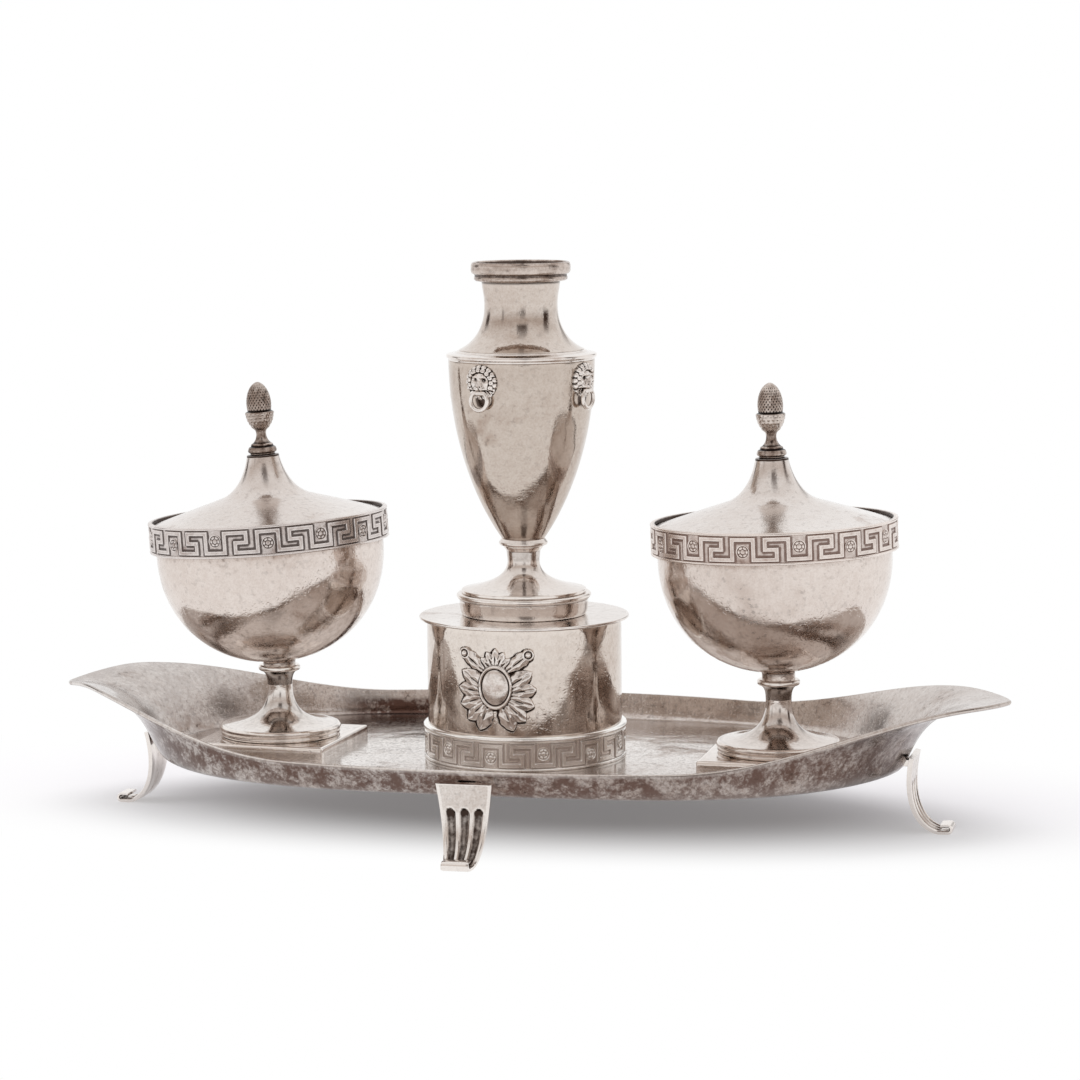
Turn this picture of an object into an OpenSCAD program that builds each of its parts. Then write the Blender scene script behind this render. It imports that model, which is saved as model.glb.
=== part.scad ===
// Desk inkstand of sheet silver: a boat-shaped tray on four strap feet, a lidded ink bowl,
// a lidded sand bowl, and between them a round box whose lift-off cover carries a pen vase.
// Millimetres. The origin lies on the table under the middle of the tray.
// +X points to the right end, -Y to the front and +Z up.

/* [Tray] */
// Length over the two pointed ends
tray_len = 320; // [300:1:400]
// Width across the rim at the middle
tray_w = 152; // [120:1:200]
// Height of the rim above the floor at the middle of each side
tray_side_h = 7.4; // [5:0.1:12]
// Height of the rim above the floor near each end
tray_end_h = 21.5; // [14:0.1:28]
// Overhang of each pointed end past the floor
prow_reach = 33; // [20:0.5:45]
// Length over which the rim climbs to each end
prow_rise = 100; // [70:1:120]
// How far the left tip droops below the highest point of the rim
left_droop = 3; // [0:0.1:5]
// How far the right tip droops
right_droop = 0.2; // [0:0.1:5]
// How far the rim leans out past the floor at the middle of each side
side_flare = 5.5; // [3:0.1:10]
// Thickness of the sheet
sheet = 1; // [0.8:0.1:2]

/* [Feet] */
// Height of the tray's floor above the table
foot_h = 21; // [16:0.5:32]
// How far the pad at the top of a foot reaches above the tray's floor
foot_pad_up = 4.3; // [2:0.1:6]
// Width of a foot at its top
foot_top_w = 18; // [12:0.5:24]
// Width of a foot where it meets the toe
foot_ankle_w = 10; // [7:0.5:12]
// Thickness of a foot
strap_t = 1.8; // [1.4:0.1:2.6]
// Spread of a foot from its pad to the start of its curled toe
foot_spread = 8.2; // [6:0.1:12]
// Length of the flat of the toe
toe_len = 3; // [2:0.1:5]
// Depth of the three flutes
flute_depth = 0.7; // [0.2:0.05:0.9]
// Gap between a foot's pad and the wall of the tray
pad_gap = 0.6; // [0.3:0.1:2]
// How far the front foot was set to the left of the middle
front_foot_off = 1.2; // [0:0.1:3]

/* [Bowls] */
// Distance from a bowl's plinth to the end of the tray's floor
end_gap = 19; // [12:0.5:40]
// Side of the square plinth
plinth_w = 46; // [42:0.5:54]
// Height of the plinth
plinth_h = 3.8; // [2:0.1:8]
// Turn of the ink bowl's plinth from square with the tray, in degrees
ink_plinth_turn = -3; // [-6:0.5:6]
// Radius of the round foot
bowl_foot_r = 20.4; // [16:0.1:20.8]
// Height of the foot, from the plinth to the top of its collar
bowl_foot_h = 23.8; // [20:0.1:34]
// Smallest radius of the stem
stem_r = 4.2; // [3.6:0.1:6]
// Outer radius of the bowl under its band
bowl_r = 38; // [34:0.1:46]
// Depth of the rounded part of the bowl
bowl_depth = 38; // [32:0.1:46]
// Height of the band at the rim
band_h = 10.2; // [8:0.1:14]
// How far the band stands out from the bowl
band_step = 2.1; // [1.8:0.1:3]
// Sideways lean of the ink bowl on its worn foot, in degrees
ink_lean = 3.6; // [0:0.1:4]
// Sideways lean of the sand bowl, in degrees
sand_lean = 1.7; // [0:0.1:4]
// Height of the neck under the ink bowl
ink_neck = 1.2; // [1:0.1:3]
// Height of the neck under the sand bowl
sand_neck = 2.4; // [1:0.1:3]
// Outer radius of the glass ink liner
liner_r = 28; // [24:0.1:29]
// Depth of the glass ink liner below its flange
liner_depth = 32; // [24:0.1:33]
// Wall of the glass ink liner
liner_wall = 2; // [1.5:0.1:3]

// Turn of the key round the ink bowl's band, in degrees
ink_key_turn = -98; // [-180:1:180]
// Turn of the key round the sand bowl's band, in degrees
sand_key_turn = -69; // [-180:1:180]

/* [Key bands] */
// Length of one box and hook of the Greek key, as near as a whole number round the band allows
key_pitch = 18; // [14:0.1:24]
// Width of a box of the key
key_box = 6.8; // [5:0.1:9]
// Width of the raised strip
key_w = 1.3; // [0.8:0.05:1.6]
// Height of the strip above the band
key_raise = 0.4; // [0.2:0.05:0.6]
// Height of the plain fillets along the band's edges
key_border = 0.9; // [0.6:0.05:1.4]

/* [Lids] */
// Height of a lid's bell above the rim of the bowl
bell_h = 19.9; // [16:0.1:26]
// Radius at the top of the bell
bell_r = 5.3; // [5:0.1:8]
// Depth of the lid's edge below the rim of the bowl
lid_sink = 1.2; // [0.6:0.1:2]
// Height of the acorn finial above the bell
finial_h = 24.3; // [18:0.1:32]
// Radius of the acorn's cup
acorn_r = 4.8; // [3.8:0.1:6.4]

/* [Box] */
// Outer radius of the round box
box_r = 32.1; // [28:0.1:40]
// Height of the box's wall
box_h = 45.8; // [36:0.1:60]
// Height of the band round the foot of the box
box_band_h = 11.5; // [8:0.1:14]
// Turn of the key round the box's band, in degrees
box_key_turn = -66; // [-180:1:180]
// How far the cover overhangs the wall
cover_lip = 2.5; // [1.5:0.1:4]
// Thickness of the cover
cover_t = 1.05; // [0.8:0.05:2]

/* [Vase] */
// Radius of the step under the vase
step_r = 22.2; // [18:0.1:26]
// Height of the step
step_h = 7.3; // [5:0.1:12]
// Height of the foot and stem, from the step to the knop
vase_stem_h = 15.4; // [12:0.1:22]
// Smallest radius of the stem
vase_stem_r = 5.3; // [4.6:0.05:7]
// Radius of the knop
knop_r = 8.05; // [7:0.05:10]
// Height of the knop
knop_h = 2.6; // [2:0.1:4]
// Height of the tapering body
body_h = 58.7; // [46:0.1:72]
// Radius of the body at its shoulder
shoulder_r = 24; // [20:0.1:28]
// Height of the neck from the shoulder to the lip
neck_h = 22.3; // [18:0.1:28]
// Smallest outer radius of the neck
neck_r = 12; // [9:0.1:14]
// Height of the lip
lip_h = 6.4; // [5:0.1:9]
// Outer radius of the lip
lip_r = 16.3; // [14:0.1:19]
// Turn of the vase on its cover, in degrees
vase_turn = -19; // [-45:1:45]
// Width of a lion mask
mask_w = 11.4; // [10:0.1:14]
// Radius of the middle line of a drop ring
ring_r = 3.1; // [2.9:0.05:4]
// Radius of a drop ring's wire
ring_wire_r = 0.75; // [0.6:0.05:0.9]

/* [Fits] */
// Clearance round pieces that lift out
lift_gap = 0.3; // [0.2:0.05:0.6]
// Clearance round a fixed stud, and round the bar of a swinging ring
stud_gap = 0.06; // [0.02:0.01:0.1]
// Radius of the studs that fix the bowls and the box
stud_r = 2; // [1.5:0.1:2.5]

/* [Hidden] */
$fn = 96;

silver = [0.80, 0.77, 0.73];
dull_silver = [0.70, 0.67, 0.63];
dark_silver = [0.52, 0.48, 0.44];
clear_glass = [0.82, 0.90, 0.90, 0.45];

// Tray
floor_z = foot_h;
tray_half = tray_len / 2;
floor_half = tray_half - prow_reach;
floor_half_w = tray_w / 2 - side_flare;
floor_pull = 1 - floor_half / tray_half;
rim_t = sheet + 0.4;
tray_stations = 96;
wall_steps = 8;

// Feet
pad_z = floor_z + foot_pad_up;
toe_r = 1.1;
sole_t = 0.75 * strap_t;
toe_z = sole_t / 2 - 0.15;
lug_w = 6;
lug_low = 1.6;

// Bowls
bowl_x = floor_half - end_gap - plinth_w / 2;
plinth_top = floor_z + plinth_h;
collar_z = plinth_top + bowl_foot_h;
collar_r = stem_r + 2.8;
boss_r = stem_r + 1.2;
boss_sunk = 2;
wall_t = 1;
band_low = bowl_depth + 1.6;
rim_h = band_low + band_h;
band_r = bowl_r + band_step;
rim_r = band_r - 1.6;
key_root = 0.3;
lid_t = 0.9;
flange_t = 1.2;
seat_h = rim_h - lid_sink - lid_t - flange_t;
lid_r = rim_r - lift_gap;
stud_up = 8;
nut_h = 3;
nut_r = 4.2;

// Lids, measured from the rim of the bowl
lid_base = -lid_sink - lid_t;
brim_r = lid_r - 3.6;
bell_foot = [15.4, 5.8];
brim_slope = (bell_foot[1] + lid_sink) / (lid_r - bell_foot[0]);
under_drop = lid_t * sqrt(1 + brim_slope * brim_slope);
bezel_r = liner_r - liner_wall - lift_gap;
bezel_drop = 4;
bezel_t = 0.8;
finial_screw_r = 1.5;

// Box and cover
box_wall_t = 1;
cover_z = floor_z + box_h;
cover_r = box_r + cover_lip;
cover_top = cover_z + cover_t;
box_band_r = box_r + 1.3;
mount_z = floor_z + 0.6 * box_h;
mount_turn = -3;
tie_r = 1.8;

// Vase
step_top = cover_top + step_h;
knop_z = step_top + vase_stem_h;
body_z = knop_z + knop_h;
shoulder_z = body_z + body_h;
shoulder_h = 3.2;
neck_z = shoulder_z + shoulder_h;
lip_z = neck_z + neck_h;
mask_r = mask_w / 2;
mask_z = shoulder_z - 1.04 * mask_r;
bar_z = mask_z - 0.6 * mask_r;
bar_out = 1.9;
ring_drop = 0.78 * ring_r;
ring_arm_y = sqrt(ring_r * ring_r - ring_drop * ring_drop);

function mix(a, b, t) = a + (b - a) * t;
function clamp(t) = max(0, min(1, t));
function smooth(t) = let (c = clamp(t)) c * c * (3 - 2 * c);
function back_to_front(list) = [for (i = [len(list) - 1 : -1 : 0]) list[i]];

// A cubic curve through its first and last control points, its direction, and n + 1 points on it
function bez(p, t) =
    pow(1 - t, 3) * p[0] + 3 * pow(1 - t, 2) * t * p[1] + 3 * (1 - t) * t * t * p[2] + pow(t, 3) * p[3];
function bez_run(p, t) =
    pow(1 - t, 2) * (p[1] - p[0]) + 2 * (1 - t) * t * (p[2] - p[1]) + t * t * (p[3] - p[2]);
function curve(p, n) = [for (i = [0 : n]) bez(p, i / n)];

// The unit vector to the left of a direction
function left_of(v) = [-v[1], v[0]] / norm(v);
function curve_beside(p, n, d) = [for (i = [0 : n]) bez(p, i / n) + d * left_of(bez_run(p, i / n))];

// The rim and the edge of the floor, seen from above, at an angle round the tray
function rim_point(a) = let (c = abs(cos(a)))
    [tray_half * cos(a), sign(sin(a)) * tray_w / 2 * pow(max(0, 1 - pow(c, 2.3)), 0.75)];
function floor_point(a) =
    let (c = abs(cos(a)), s = c - floor_pull * pow(c, 4.5))
    [sign(cos(a)) * tray_half * s,
     sign(sin(a)) * floor_half_w * pow(max(0, 1 - pow(tray_half * s / floor_half, 3.4)), 0.6)];

// Height of the rim above the underside of the floor: low along the sides, swept up to the ends
function rim_height(a) =
    let (tip = tray_half - abs(tray_half * cos(a)),
         climb = smooth(pow(clamp((prow_rise - tip) / (prow_rise - 10)), 1.15)),
         droop = (cos(a) < 0 ? left_droop : right_droop) * pow(clamp(1 - tip / 18), 2))
    sheet + mix(tray_side_h, tray_end_h, climb) - droop;

// Section of the wall's underside: [distance out from the floor's edge, height above its underside]
function wall_section(a) =
    let (reach = norm(rim_point(a) - floor_point(a)), h = rim_height(a), e = pow(abs(cos(a)), 3))
    [[-3, 0], [mix(1.2, 2.5, e), 0], [mix(0.35, 0, e) * reach, mix(0.45, 1.095, e) * h], [reach, h]];

// One slice through the sheet of the wall: up the underside, round the rim and down the inside
function wall_slice(a) =
    let (p = wall_section(a), edge = bez(p, 1), run = bez_run(p, 1) / norm(bez_run(p, 1)),
         outside = curve(p, wall_steps),
         nose = edge + 0.35 * run + 0.5 * rim_t * left_of(run),
         inside = [for (i = [0 : wall_steps])
             let (t = i / wall_steps)
             bez(p, t) + mix(sheet, rim_t, pow(t, 6)) * left_of(bez_run(p, t))])
    concat(outside, [nose], back_to_front(inside));

// The same slice placed round the tray
function placed_slice(a) =
    let (f = floor_point(a), r = rim_point(a), out = (r - f) / norm(r - f))
    [for (q = wall_slice(a)) [f[0] + out[0] * q[0], f[1] + out[1] * q[0], floor_z - sheet + q[1]]];

// The wall's underside as built: [distance from the middle of the tray, height above the floor's]
function wall_line(a) =
    [for (q = curve(wall_section(a), wall_steps)) [norm(floor_point(a)) + q[0], q[1]]];

// How far out the wall's underside is at a height above the underside of the floor
function wall_reach(a, h) = lookup(h, [for (q = wall_line(a)) [q[1], q[0]]]);

// Triangles of a skin over n sections of k points each. The last section meets the first where
// it goes all round, and the last point of each section meets its first where it is closed
function skin(n, k, all_round, closed) = [
    for (i = [0 : n - (all_round ? 1 : 2)], j = [0 : k - (closed ? 1 : 2)])
        let (i2 = (i + 1) % n, j2 = (j + 1) % k)
        each [[i * k + j, i * k + j2, i2 * k + j2], [i * k + j, i2 * k + j2, i2 * k + j]]
];

module tray_shell() {
    slices = [for (i = [0 : tray_stations - 1]) placed_slice(360 * i / tray_stations)];
    k = len(slices[0]);
    under = [for (i = [0 : tray_stations - 1]) i * k];
    top = [for (i = [tray_stations - 1 : -1 : 0]) i * k + k - 1];
    polyhedron(
        points = [for (s = slices) each s],
        faces = concat(skin(tray_stations, k, true, false), [under, top])
    );
}

module tray() {
    color(dull_silver)
    difference() {
        tray_shell();
        for (x = [-bowl_x, 0, bowl_x])
            translate([x, 0, floor_z - 2 * sheet])
                cylinder(h = 3 * sheet, r = stud_r + stud_gap);
    }
}

// Centre line of a foot in its own upright plane: [distance out, height]
leg_line = [
    [0, pad_z], [-2.2, 0.6 * pad_z], [-1, 0.12 * pad_z], [foot_spread, toe_z]
];
leg_steps = 14;
toe_line = concat(
    [for (b = [-90 : 30 : 90])
        [foot_spread + toe_len + toe_r * cos(b), toe_z + toe_r + toe_r * sin(b)]],
    [[foot_spread + 0.6, toe_z + 2 * toe_r - 0.15]]
);
foot_line = concat(curve(leg_line, leg_steps), toe_line);
foot_count = len(foot_line);

function line_run(p, i) = p[min(i + 1, len(p) - 1)] - p[max(i - 1, 0)];
function foot_width(i) = i <= leg_steps
    ? mix(foot_top_w, foot_ankle_w, i / leg_steps)
    : mix(foot_ankle_w - 0.6, foot_ankle_w - 1.6, (i - leg_steps) / (foot_count - leg_steps));
function foot_thick(i) = i <= leg_steps
    ? mix(strap_t, sole_t, pow(i / leg_steps, 3))
    : mix(sole_t, 0.65 * sole_t, (i - leg_steps) / (foot_count - leg_steps));
// The flutes start below the pad and run out on the toe
function flute_at(i) = flute_depth * smooth((i - 4.2) / 0.8) * smooth((leg_steps - i) / 2);

// Section of the strap at step i: the fluted face from edge to edge, then the plain back
function strap_section(i) =
    let (w = foot_width(i), t = foot_thick(i))
    concat(
        [[-w / 2, t / 2 - 0.2]],
        [for (k = [-1 : 1], s = [-2 : 2])
            [w * (0.29 * k + 0.055 * s), t / 2 - flute_at(i) * (1 - s * s / 4)]],
        [[w / 2, t / 2 - 0.2], [w / 2, -t / 2], [-w / 2, -t / 2]]
    );

module strap() {
    rings = [for (i = [0 : foot_count - 1])
        let (c = foot_line[i], n = left_of(line_run(foot_line, i)))
        [for (q = strap_section(i)) [c[0] + n[0] * q[1], q[0], c[1] + n[1] * q[1]]]];
    k = len(rings[0]);
    start_cap = [for (j = [k - 1 : -1 : 0]) j];
    end_cap = [for (j = [0 : k - 1]) (foot_count - 1) * k + j];
    polyhedron(
        points = [for (r = rings) each r],
        faces = concat(skin(foot_count, k, false, true), [start_cap, end_cap])
    );
}

// A foot, its sole cut flat on the table, with the lug that carries it, shaped to the wall
module foot(turn, off = 0) {
    pad_h = pad_z - floor_z + sheet;
    line_x = wall_reach(turn, pad_h) + pad_gap + strap_t / 2;
    lug_high = pad_h - 1.4;
    lug_wall = concat(
        [[wall_reach(turn, lug_low), lug_low]],
        [for (q = wall_line(turn)) if (q[1] > lug_low && q[1] < lug_high) q],
        [[wall_reach(turn, lug_high), lug_high]]
    );
    color(silver)
    rotate([0, 0, turn])
    translate([0, -off, 0])
    union() {
        difference() {
            translate([line_x, 0, 0])
                strap();
            translate([line_x - 10, -foot_top_w, -10])
                cube([40, 2 * foot_top_w, 10]);
        }
        translate([0, lug_w / 2, floor_z - sheet])
            rotate([90, 0, 0])
                linear_extrude(lug_w)
                    polygon(concat(
                        [[line_x - 0.4, lug_high], [line_x - 0.6, lug_low]], lug_wall
                    ));
    }
}

// A square slab with its top edges cut back
module plinth(x, turn) {
    cut = 0.5;
    side = [
        [-plinth_w / 2, 0], [plinth_w / 2, 0], [plinth_w / 2, plinth_h - cut],
        [plinth_w / 2 - cut, plinth_h], [-plinth_w / 2 + cut, plinth_h], [-plinth_w / 2, plinth_h - cut]
    ];
    color(silver)
    translate([x, 0, floor_z])
    rotate([0, 0, turn])
    difference() {
        intersection() {
            rotate([90, 0, 0])
                linear_extrude(2 * plinth_w, center = true)
                    polygon(side);
            rotate([90, 0, 90])
                linear_extrude(2 * plinth_w, center = true)
                    polygon(side);
        }
        translate([0, 0, -1])
            cylinder(h = plinth_h + 2, r = stud_r + stud_gap);
    }
}

// The bowl of a stand leans about the top of its foot; every piece of it is placed by this
module on_foot(x, lean, neck) {
    translate([x, 0, collar_z])
        rotate([0, -lean, 0])
            translate([0, 0, neck])
                children();
}

// Outline of the round foot, spreading from the collar through the stem to the moulded edge
foot_edge = [
    [bowl_foot_r - 0.8, 0], [bowl_foot_r - 0.3, 0.7], [bowl_foot_r - 0.6, 1.5],
    [bowl_foot_r, 2.1], [bowl_foot_r, 3.1], [bowl_foot_r - 0.7, 3.8]
];
stem_curve = [
    [bowl_foot_r - 1.2, 3.8], [0.4 * bowl_foot_r, 4.8],
    [stem_r, 0.36 * bowl_foot_h], [stem_r, 0.72 * bowl_foot_h]
];
collar_curve = [
    [stem_r, 0.72 * bowl_foot_h], [stem_r, bowl_foot_h - 3.2],
    [stem_r + 1, bowl_foot_h - 2.2], [collar_r - 0.4, bowl_foot_h - 1.9]
];

module bowl_foot(x, lean) {
    color(silver)
    difference() {
        translate([x, 0, plinth_top])
            rotate_extrude()
                polygon(concat(
                    foot_edge, curve(stem_curve, 9), curve(collar_curve, 4),
                    [[collar_r, bowl_foot_h - 1.5], [collar_r, bowl_foot_h - 0.5],
                     [collar_r - 0.5, bowl_foot_h], [0, bowl_foot_h],
                     [0, 2.4], [stem_r - 0.4, 2.4], [stem_r - 0.4, 0], [stem_r + 0.6, 0],
                     [stem_r + 0.6, 2.2], [bowl_foot_r - 3, 2.2], [bowl_foot_r - 2.2, 0]]
                ));
        translate([x, 0, plinth_top - 1])
            cylinder(h = stud_up + 1, r = stud_r + stud_gap);
        on_foot(x, lean, 0)
            translate([0, 0, -boss_sunk])
                cylinder(h = boss_sunk + 2, r = boss_r + stud_gap);
    }
}

module fixing_stud(x) {
    low = floor_z - sheet - nut_h - 1;
    color(dark_silver)
    translate([x, 0, low])
        cylinder(h = plinth_top + stud_up - low, r = stud_r);
}

module under_nut(x) {
    color(dark_silver)
    translate([x, 0, floor_z - sheet - nut_h])
    difference() {
        cylinder(h = nut_h, r = nut_r, $fn = 6);
        translate([0, 0, -1])
            cylinder(h = nut_h + 2, r = stud_r + stud_gap);
    }
}

// Rounded cup from its widest ring down to the axis, slightly fuller than an ellipse
function cup(r, depth, top, steps) = [for (i = [0 : steps])
    let (a = 90 * i / steps)
    [r * pow(cos(a), 0.95), top - depth * pow(sin(a), 0.95)]];

module bowl(x, lean, neck) {
    color(dull_silver)
    on_foot(x, lean, neck)
        rotate_extrude()
            polygon(concat(
                [[boss_r, 0.3], [boss_r, -neck - boss_sunk], [0, -neck - boss_sunk]],
                cup_inside(), [
                    [rim_r - wall_t - 0.3, band_low], [rim_r - wall_t - 0.3, seat_h],
                    [rim_r, seat_h], [rim_r, rim_h], [rim_r + 0.6, rim_h],
                    [rim_r + 0.6, band_low + 0.6], [bowl_r, band_low]
                ],
                cup_outside()
            ));
}

function cup_inside() = back_to_front(cup(bowl_r - wall_t, bowl_depth - wall_t, bowl_depth, 12));
// The outside stops at the boss under the bowl
function cup_outside() = [for (q = cup(bowl_r, bowl_depth, bowl_depth, 12)) if (q[0] > boss_r + 0.5) q];

// Centre line of one box of the key and the hook that leads from it to the next, which is upturned
function key_line(pitch, h) =
    let (side = key_box / 2, turn = (pitch - key_box) / 3)
    [[-side, h], [-side, -h], [0, -h], [side, -h], [side, h], [side + turn, h],
     [side + 2 * turn, h], [side + 2 * turn, 0], [side + turn, 0], [side + turn, -h]];

// A Greek key standing out from a band of radius r, between the heights low and high:
// one closed strip, bent round the band, upturned at every second box
module greek_key(r, low, high, turn) {
    count = 2 * round(PI * r / key_pitch);
    pitch = 2 * PI * r / count;
    h = (high - low - key_w) / 2;
    unit = key_line(pitch, h);
    n = len(unit);
    // Middle line of the whole strip, unrolled: [distance round the band, height]
    line = [for (i = [0 : count - 1], q = unit) [q[0] + i * pitch, (i % 2 == 0 ? 1 : -1) * q[1]]];
    total = count * n;
    function on_line(i) = line[(i + total) % total] + [floor(i / total) * count * pitch, 0];
    edges = [for (i = [0 : total - 1])
        let (n1 = left_of(line[i] - on_line(i - 1)), n2 = left_of(on_line(i + 1) - line[i]),
             out = (n1 == n2 ? n1 : n1 + n2) * key_w / 2)
        [line[i] - out, line[i] + out]];
    function bend(q, out) = let (a = q[0] / r * 180 / PI + turn)
        [out * cos(a), out * sin(a), (low + high) / 2 + q[1]];
    for (i = [0 : count - 1])
        rotate([0, 0, turn + 360 * i / count])
            translate([r - key_root, 0, (low + high) / 2 + (i % 2 == 0 ? 1 : -1) * key_w / 2])
                rotate([0, 90, 0]) {
                    cylinder(h = key_root + key_raise, r = 0.45, $fn = 24);
                    cylinder(h = key_root + key_raise / 2, r = 1.3, $fn = 48);
                }
    polyhedron(
        points = [for (e = edges) each
            [bend(e[0], r - key_root), bend(e[0], r + key_raise),
             bend(e[1], r + key_raise), bend(e[1], r - key_root)]],
        faces = skin(total, 4, true, true)
    );
}

// The band is a strip wrapped round the rim, with a plain fillet along each edge
module bowl_band(x, lean, neck, turn) {
    inner = rim_r + 0.6;
    face = band_r - 0.1 - key_raise;
    low = band_low + key_border;
    high = rim_h - key_border;
    color(silver)
    on_foot(x, lean, neck)
    union() {
        rotate_extrude()
            polygon([
                [inner, band_low + 0.6], [inner - 0.5, band_low + 0.2], [inner, band_low],
                [band_r - 0.2, band_low], [band_r, band_low + 0.3], [band_r, low - 0.1],
                [face, low], [face, high], [band_r, high + 0.1],
                [band_r, rim_h - 0.3], [band_r - 0.3, rim_h], [inner, rim_h]
            ]);
        greek_key(face, low + 0.35, high - 0.35, turn);
    }
}

// Lowest a liner can reach with its edge clear of the rounded inside of the bowl
liner_floor = bowl_depth
    - (bowl_depth - wall_t) * sqrt(1 - pow((liner_r + 2 * lift_gap) / (bowl_r - wall_t), 2));

// Straight-sided glass cup hung by its flange on the seat inside the rim
module liner(x, lean, neck) {
    top = seat_h + flange_t;
    low = max(seat_h - liner_depth, liner_floor);
    color(clear_glass)
    on_foot(x, lean, neck)
        rotate_extrude()
            polygon([
                [0, low], [liner_r - 2, low], [liner_r - 0.6, low + 0.6], [liner_r, low + 2],
                [liner_r, seat_h], [lid_r, seat_h], [lid_r, top],
                [liner_r - liner_wall, top], [liner_r - liner_wall, low + 3.5],
                [liner_r - liner_wall - 1.5, low + liner_wall], [0, low + liner_wall]
            ]);
}

// Dished plate with rings of holes, hung on the same seat
module sifter(x, lean, neck) {
    top = seat_h + flange_t;
    deep = 7;
    plate_t = 0.8;
    pan_r = bezel_r + 1.5;
    color(silver)
    on_foot(x, lean, neck)
        difference() {
            rotate_extrude()
                polygon([
                    [0, top - deep - plate_t], [pan_r - 1, top - deep - plate_t + 0.6],
                    [pan_r + 1, top - deep + 1.4], [brim_r, seat_h], [lid_r, seat_h],
                    [lid_r, top], [brim_r - 0.6, top], [pan_r, top - deep + 1.6],
                    [pan_r - 1.6, top - deep + 0.6], [0, top - deep]
                ]);
            for (ring = [0 : 3], i = [0 : max(0, 6 * ring - 1)])
                rotate([0, 0, 360 * i / max(1, 6 * ring)])
                    translate([4.6 * ring, 0, top - deep - 2])
                        cylinder(h = 5, r = 0.9, $fn = 24);
        }
}

// Height of the underside of a lid's brim at radius r, from the rim of the bowl
function brim_under(r) = bell_foot[1] - brim_slope * (r - bell_foot[0]) - under_drop;

// The bell flows into the slope of the brim
bell_curve = [
    [bell_r, bell_h], [bell_r + 1, 0.72 * bell_h],
    [0.6 * bell_foot[0], bell_foot[1] + 0.4 * bell_foot[0] * brim_slope], bell_foot
];

module lid(x, lean, neck) {
    inside = back_to_front(curve_beside(bell_curve, 8, -lid_t));
    color(dull_silver)
    on_foot(x, lean, neck)
        translate([0, 0, rim_h])
            rotate_extrude()
                polygon(concat(
                    [[finial_screw_r + stud_gap, bell_h]], curve(bell_curve, 8),
                    [[lid_r, -lid_sink], [lid_r, lid_base], [brim_r, lid_base],
                     [brim_r, brim_under(brim_r)]],
                    [for (q = inside) if (q[1] < bell_h - lid_t) q],
                    [[bell_r - lid_t, bell_h - lid_t], [finial_screw_r + stud_gap, bell_h - lid_t]]
                ));
}

// Ring under a lid that keeps it centred in the piece below
module lid_bezel(x, lean, neck) {
    low = lid_base - bezel_drop;
    color(dark_silver)
    on_foot(x, lean, neck)
        translate([0, 0, rim_h])
            rotate_extrude()
                polygon([
                    [bezel_r - bezel_t, low], [bezel_r, low],
                    [bezel_r, brim_under(bezel_r)],
                    [bezel_r - bezel_t, brim_under(bezel_r - bezel_t)]
                ]);
}

// Acorn finial on a moulded button, with the screw that passes through the bell
module finial(x, lean, neck) {
    s = finial_h / 24.3;
    w = acorn_r / 4.8;
    button = [
        [4.1 * w, 0], [4.1 * w, 0.6 * s], [4.7 * w, 0.9 * s], [4.8 * w, 1.7 * s], [4.5 * w, 2.5 * s],
        [3.8 * w, 2.8 * s], [3.6 * w, 3.6 * s]
    ];
    waist = [[2.9 * w, 4 * s], [1.7 * w, 5.2 * s], [1.3 * w, 7.2 * s], [2 * w, 8.3 * s]];
    cup_side = [[2 * w, 8.3 * s], [3 * w, 9 * s], [acorn_r - 0.1, 11.2 * s], [acorn_r, 14.2 * s]];
    nut_side = [[4.4 * w, 14.6 * s], [4.8 * w, 19.4 * s], [2.9 * w, 23.4 * s], [0.4 * w, finial_h]];
    color(silver)
    on_foot(x, lean, neck)
        translate([0, 0, rim_h + bell_h])
            rotate_extrude()
                polygon(concat(
                    [[0, -lid_t - 2.6], [finial_screw_r, -lid_t - 2.6], [finial_screw_r, 0]],
                    button, curve(waist, 5), curve(cup_side, 6), curve(nut_side, 9), [[0, finial_h]]
                ));
}

// Small round nut that holds the finial, up inside the bell
module finial_nut(x, lean, neck) {
    color(dark_silver)
    on_foot(x, lean, neck)
        translate([0, 0, rim_h + bell_h - lid_t - 1.8])
            difference() {
                cylinder(h = 1.8, r = 3.4);
                translate([0, 0, -1])
                    cylinder(h = 4, r = finial_screw_r + stud_gap);
            }
}

module tube(low, h, outer, inner) {
    translate([0, 0, low])
    difference() {
        cylinder(h = h, r = outer);
        translate([0, 0, -1])
            cylinder(h = h + 2, r = inner);
    }
}

module box_wall() {
    color(silver)
    tube(floor_z, box_h, box_r, box_r - box_wall_t);
}

module box_base() {
    color(dark_silver)
    tube(floor_z, sheet, box_r - box_wall_t, stud_r + stud_gap);
}

module box_band() {
    h = box_band_h;
    face = box_band_r - 0.1 - key_raise;
    high = h - 2.2;
    color(silver)
    translate([0, 0, floor_z])
    union() {
        rotate_extrude()
            polygon([
                [box_r, 0], [box_band_r, 0], [box_band_r, key_border - 0.1], [face, key_border],
                [face, high - 0.1], [box_band_r, high], [box_band_r + 0.35, h - 1.6],
                [box_band_r + 0.35, h - 0.9], [box_band_r - 0.1, h - 0.3], [box_r, h]
            ]);
        greek_key(face, key_border + 0.35, high - 0.45, box_key_turn);
    }
}

module box_screw() {
    low = floor_z - sheet - nut_h - 1;
    color(dark_silver)
    union() {
        translate([0, 0, low])
            cylinder(h = floor_z + sheet - low, r = stud_r);
        translate([0, 0, floor_z + sheet])
            cylinder(h = 1.6, r = nut_r);
    }
}

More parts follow.
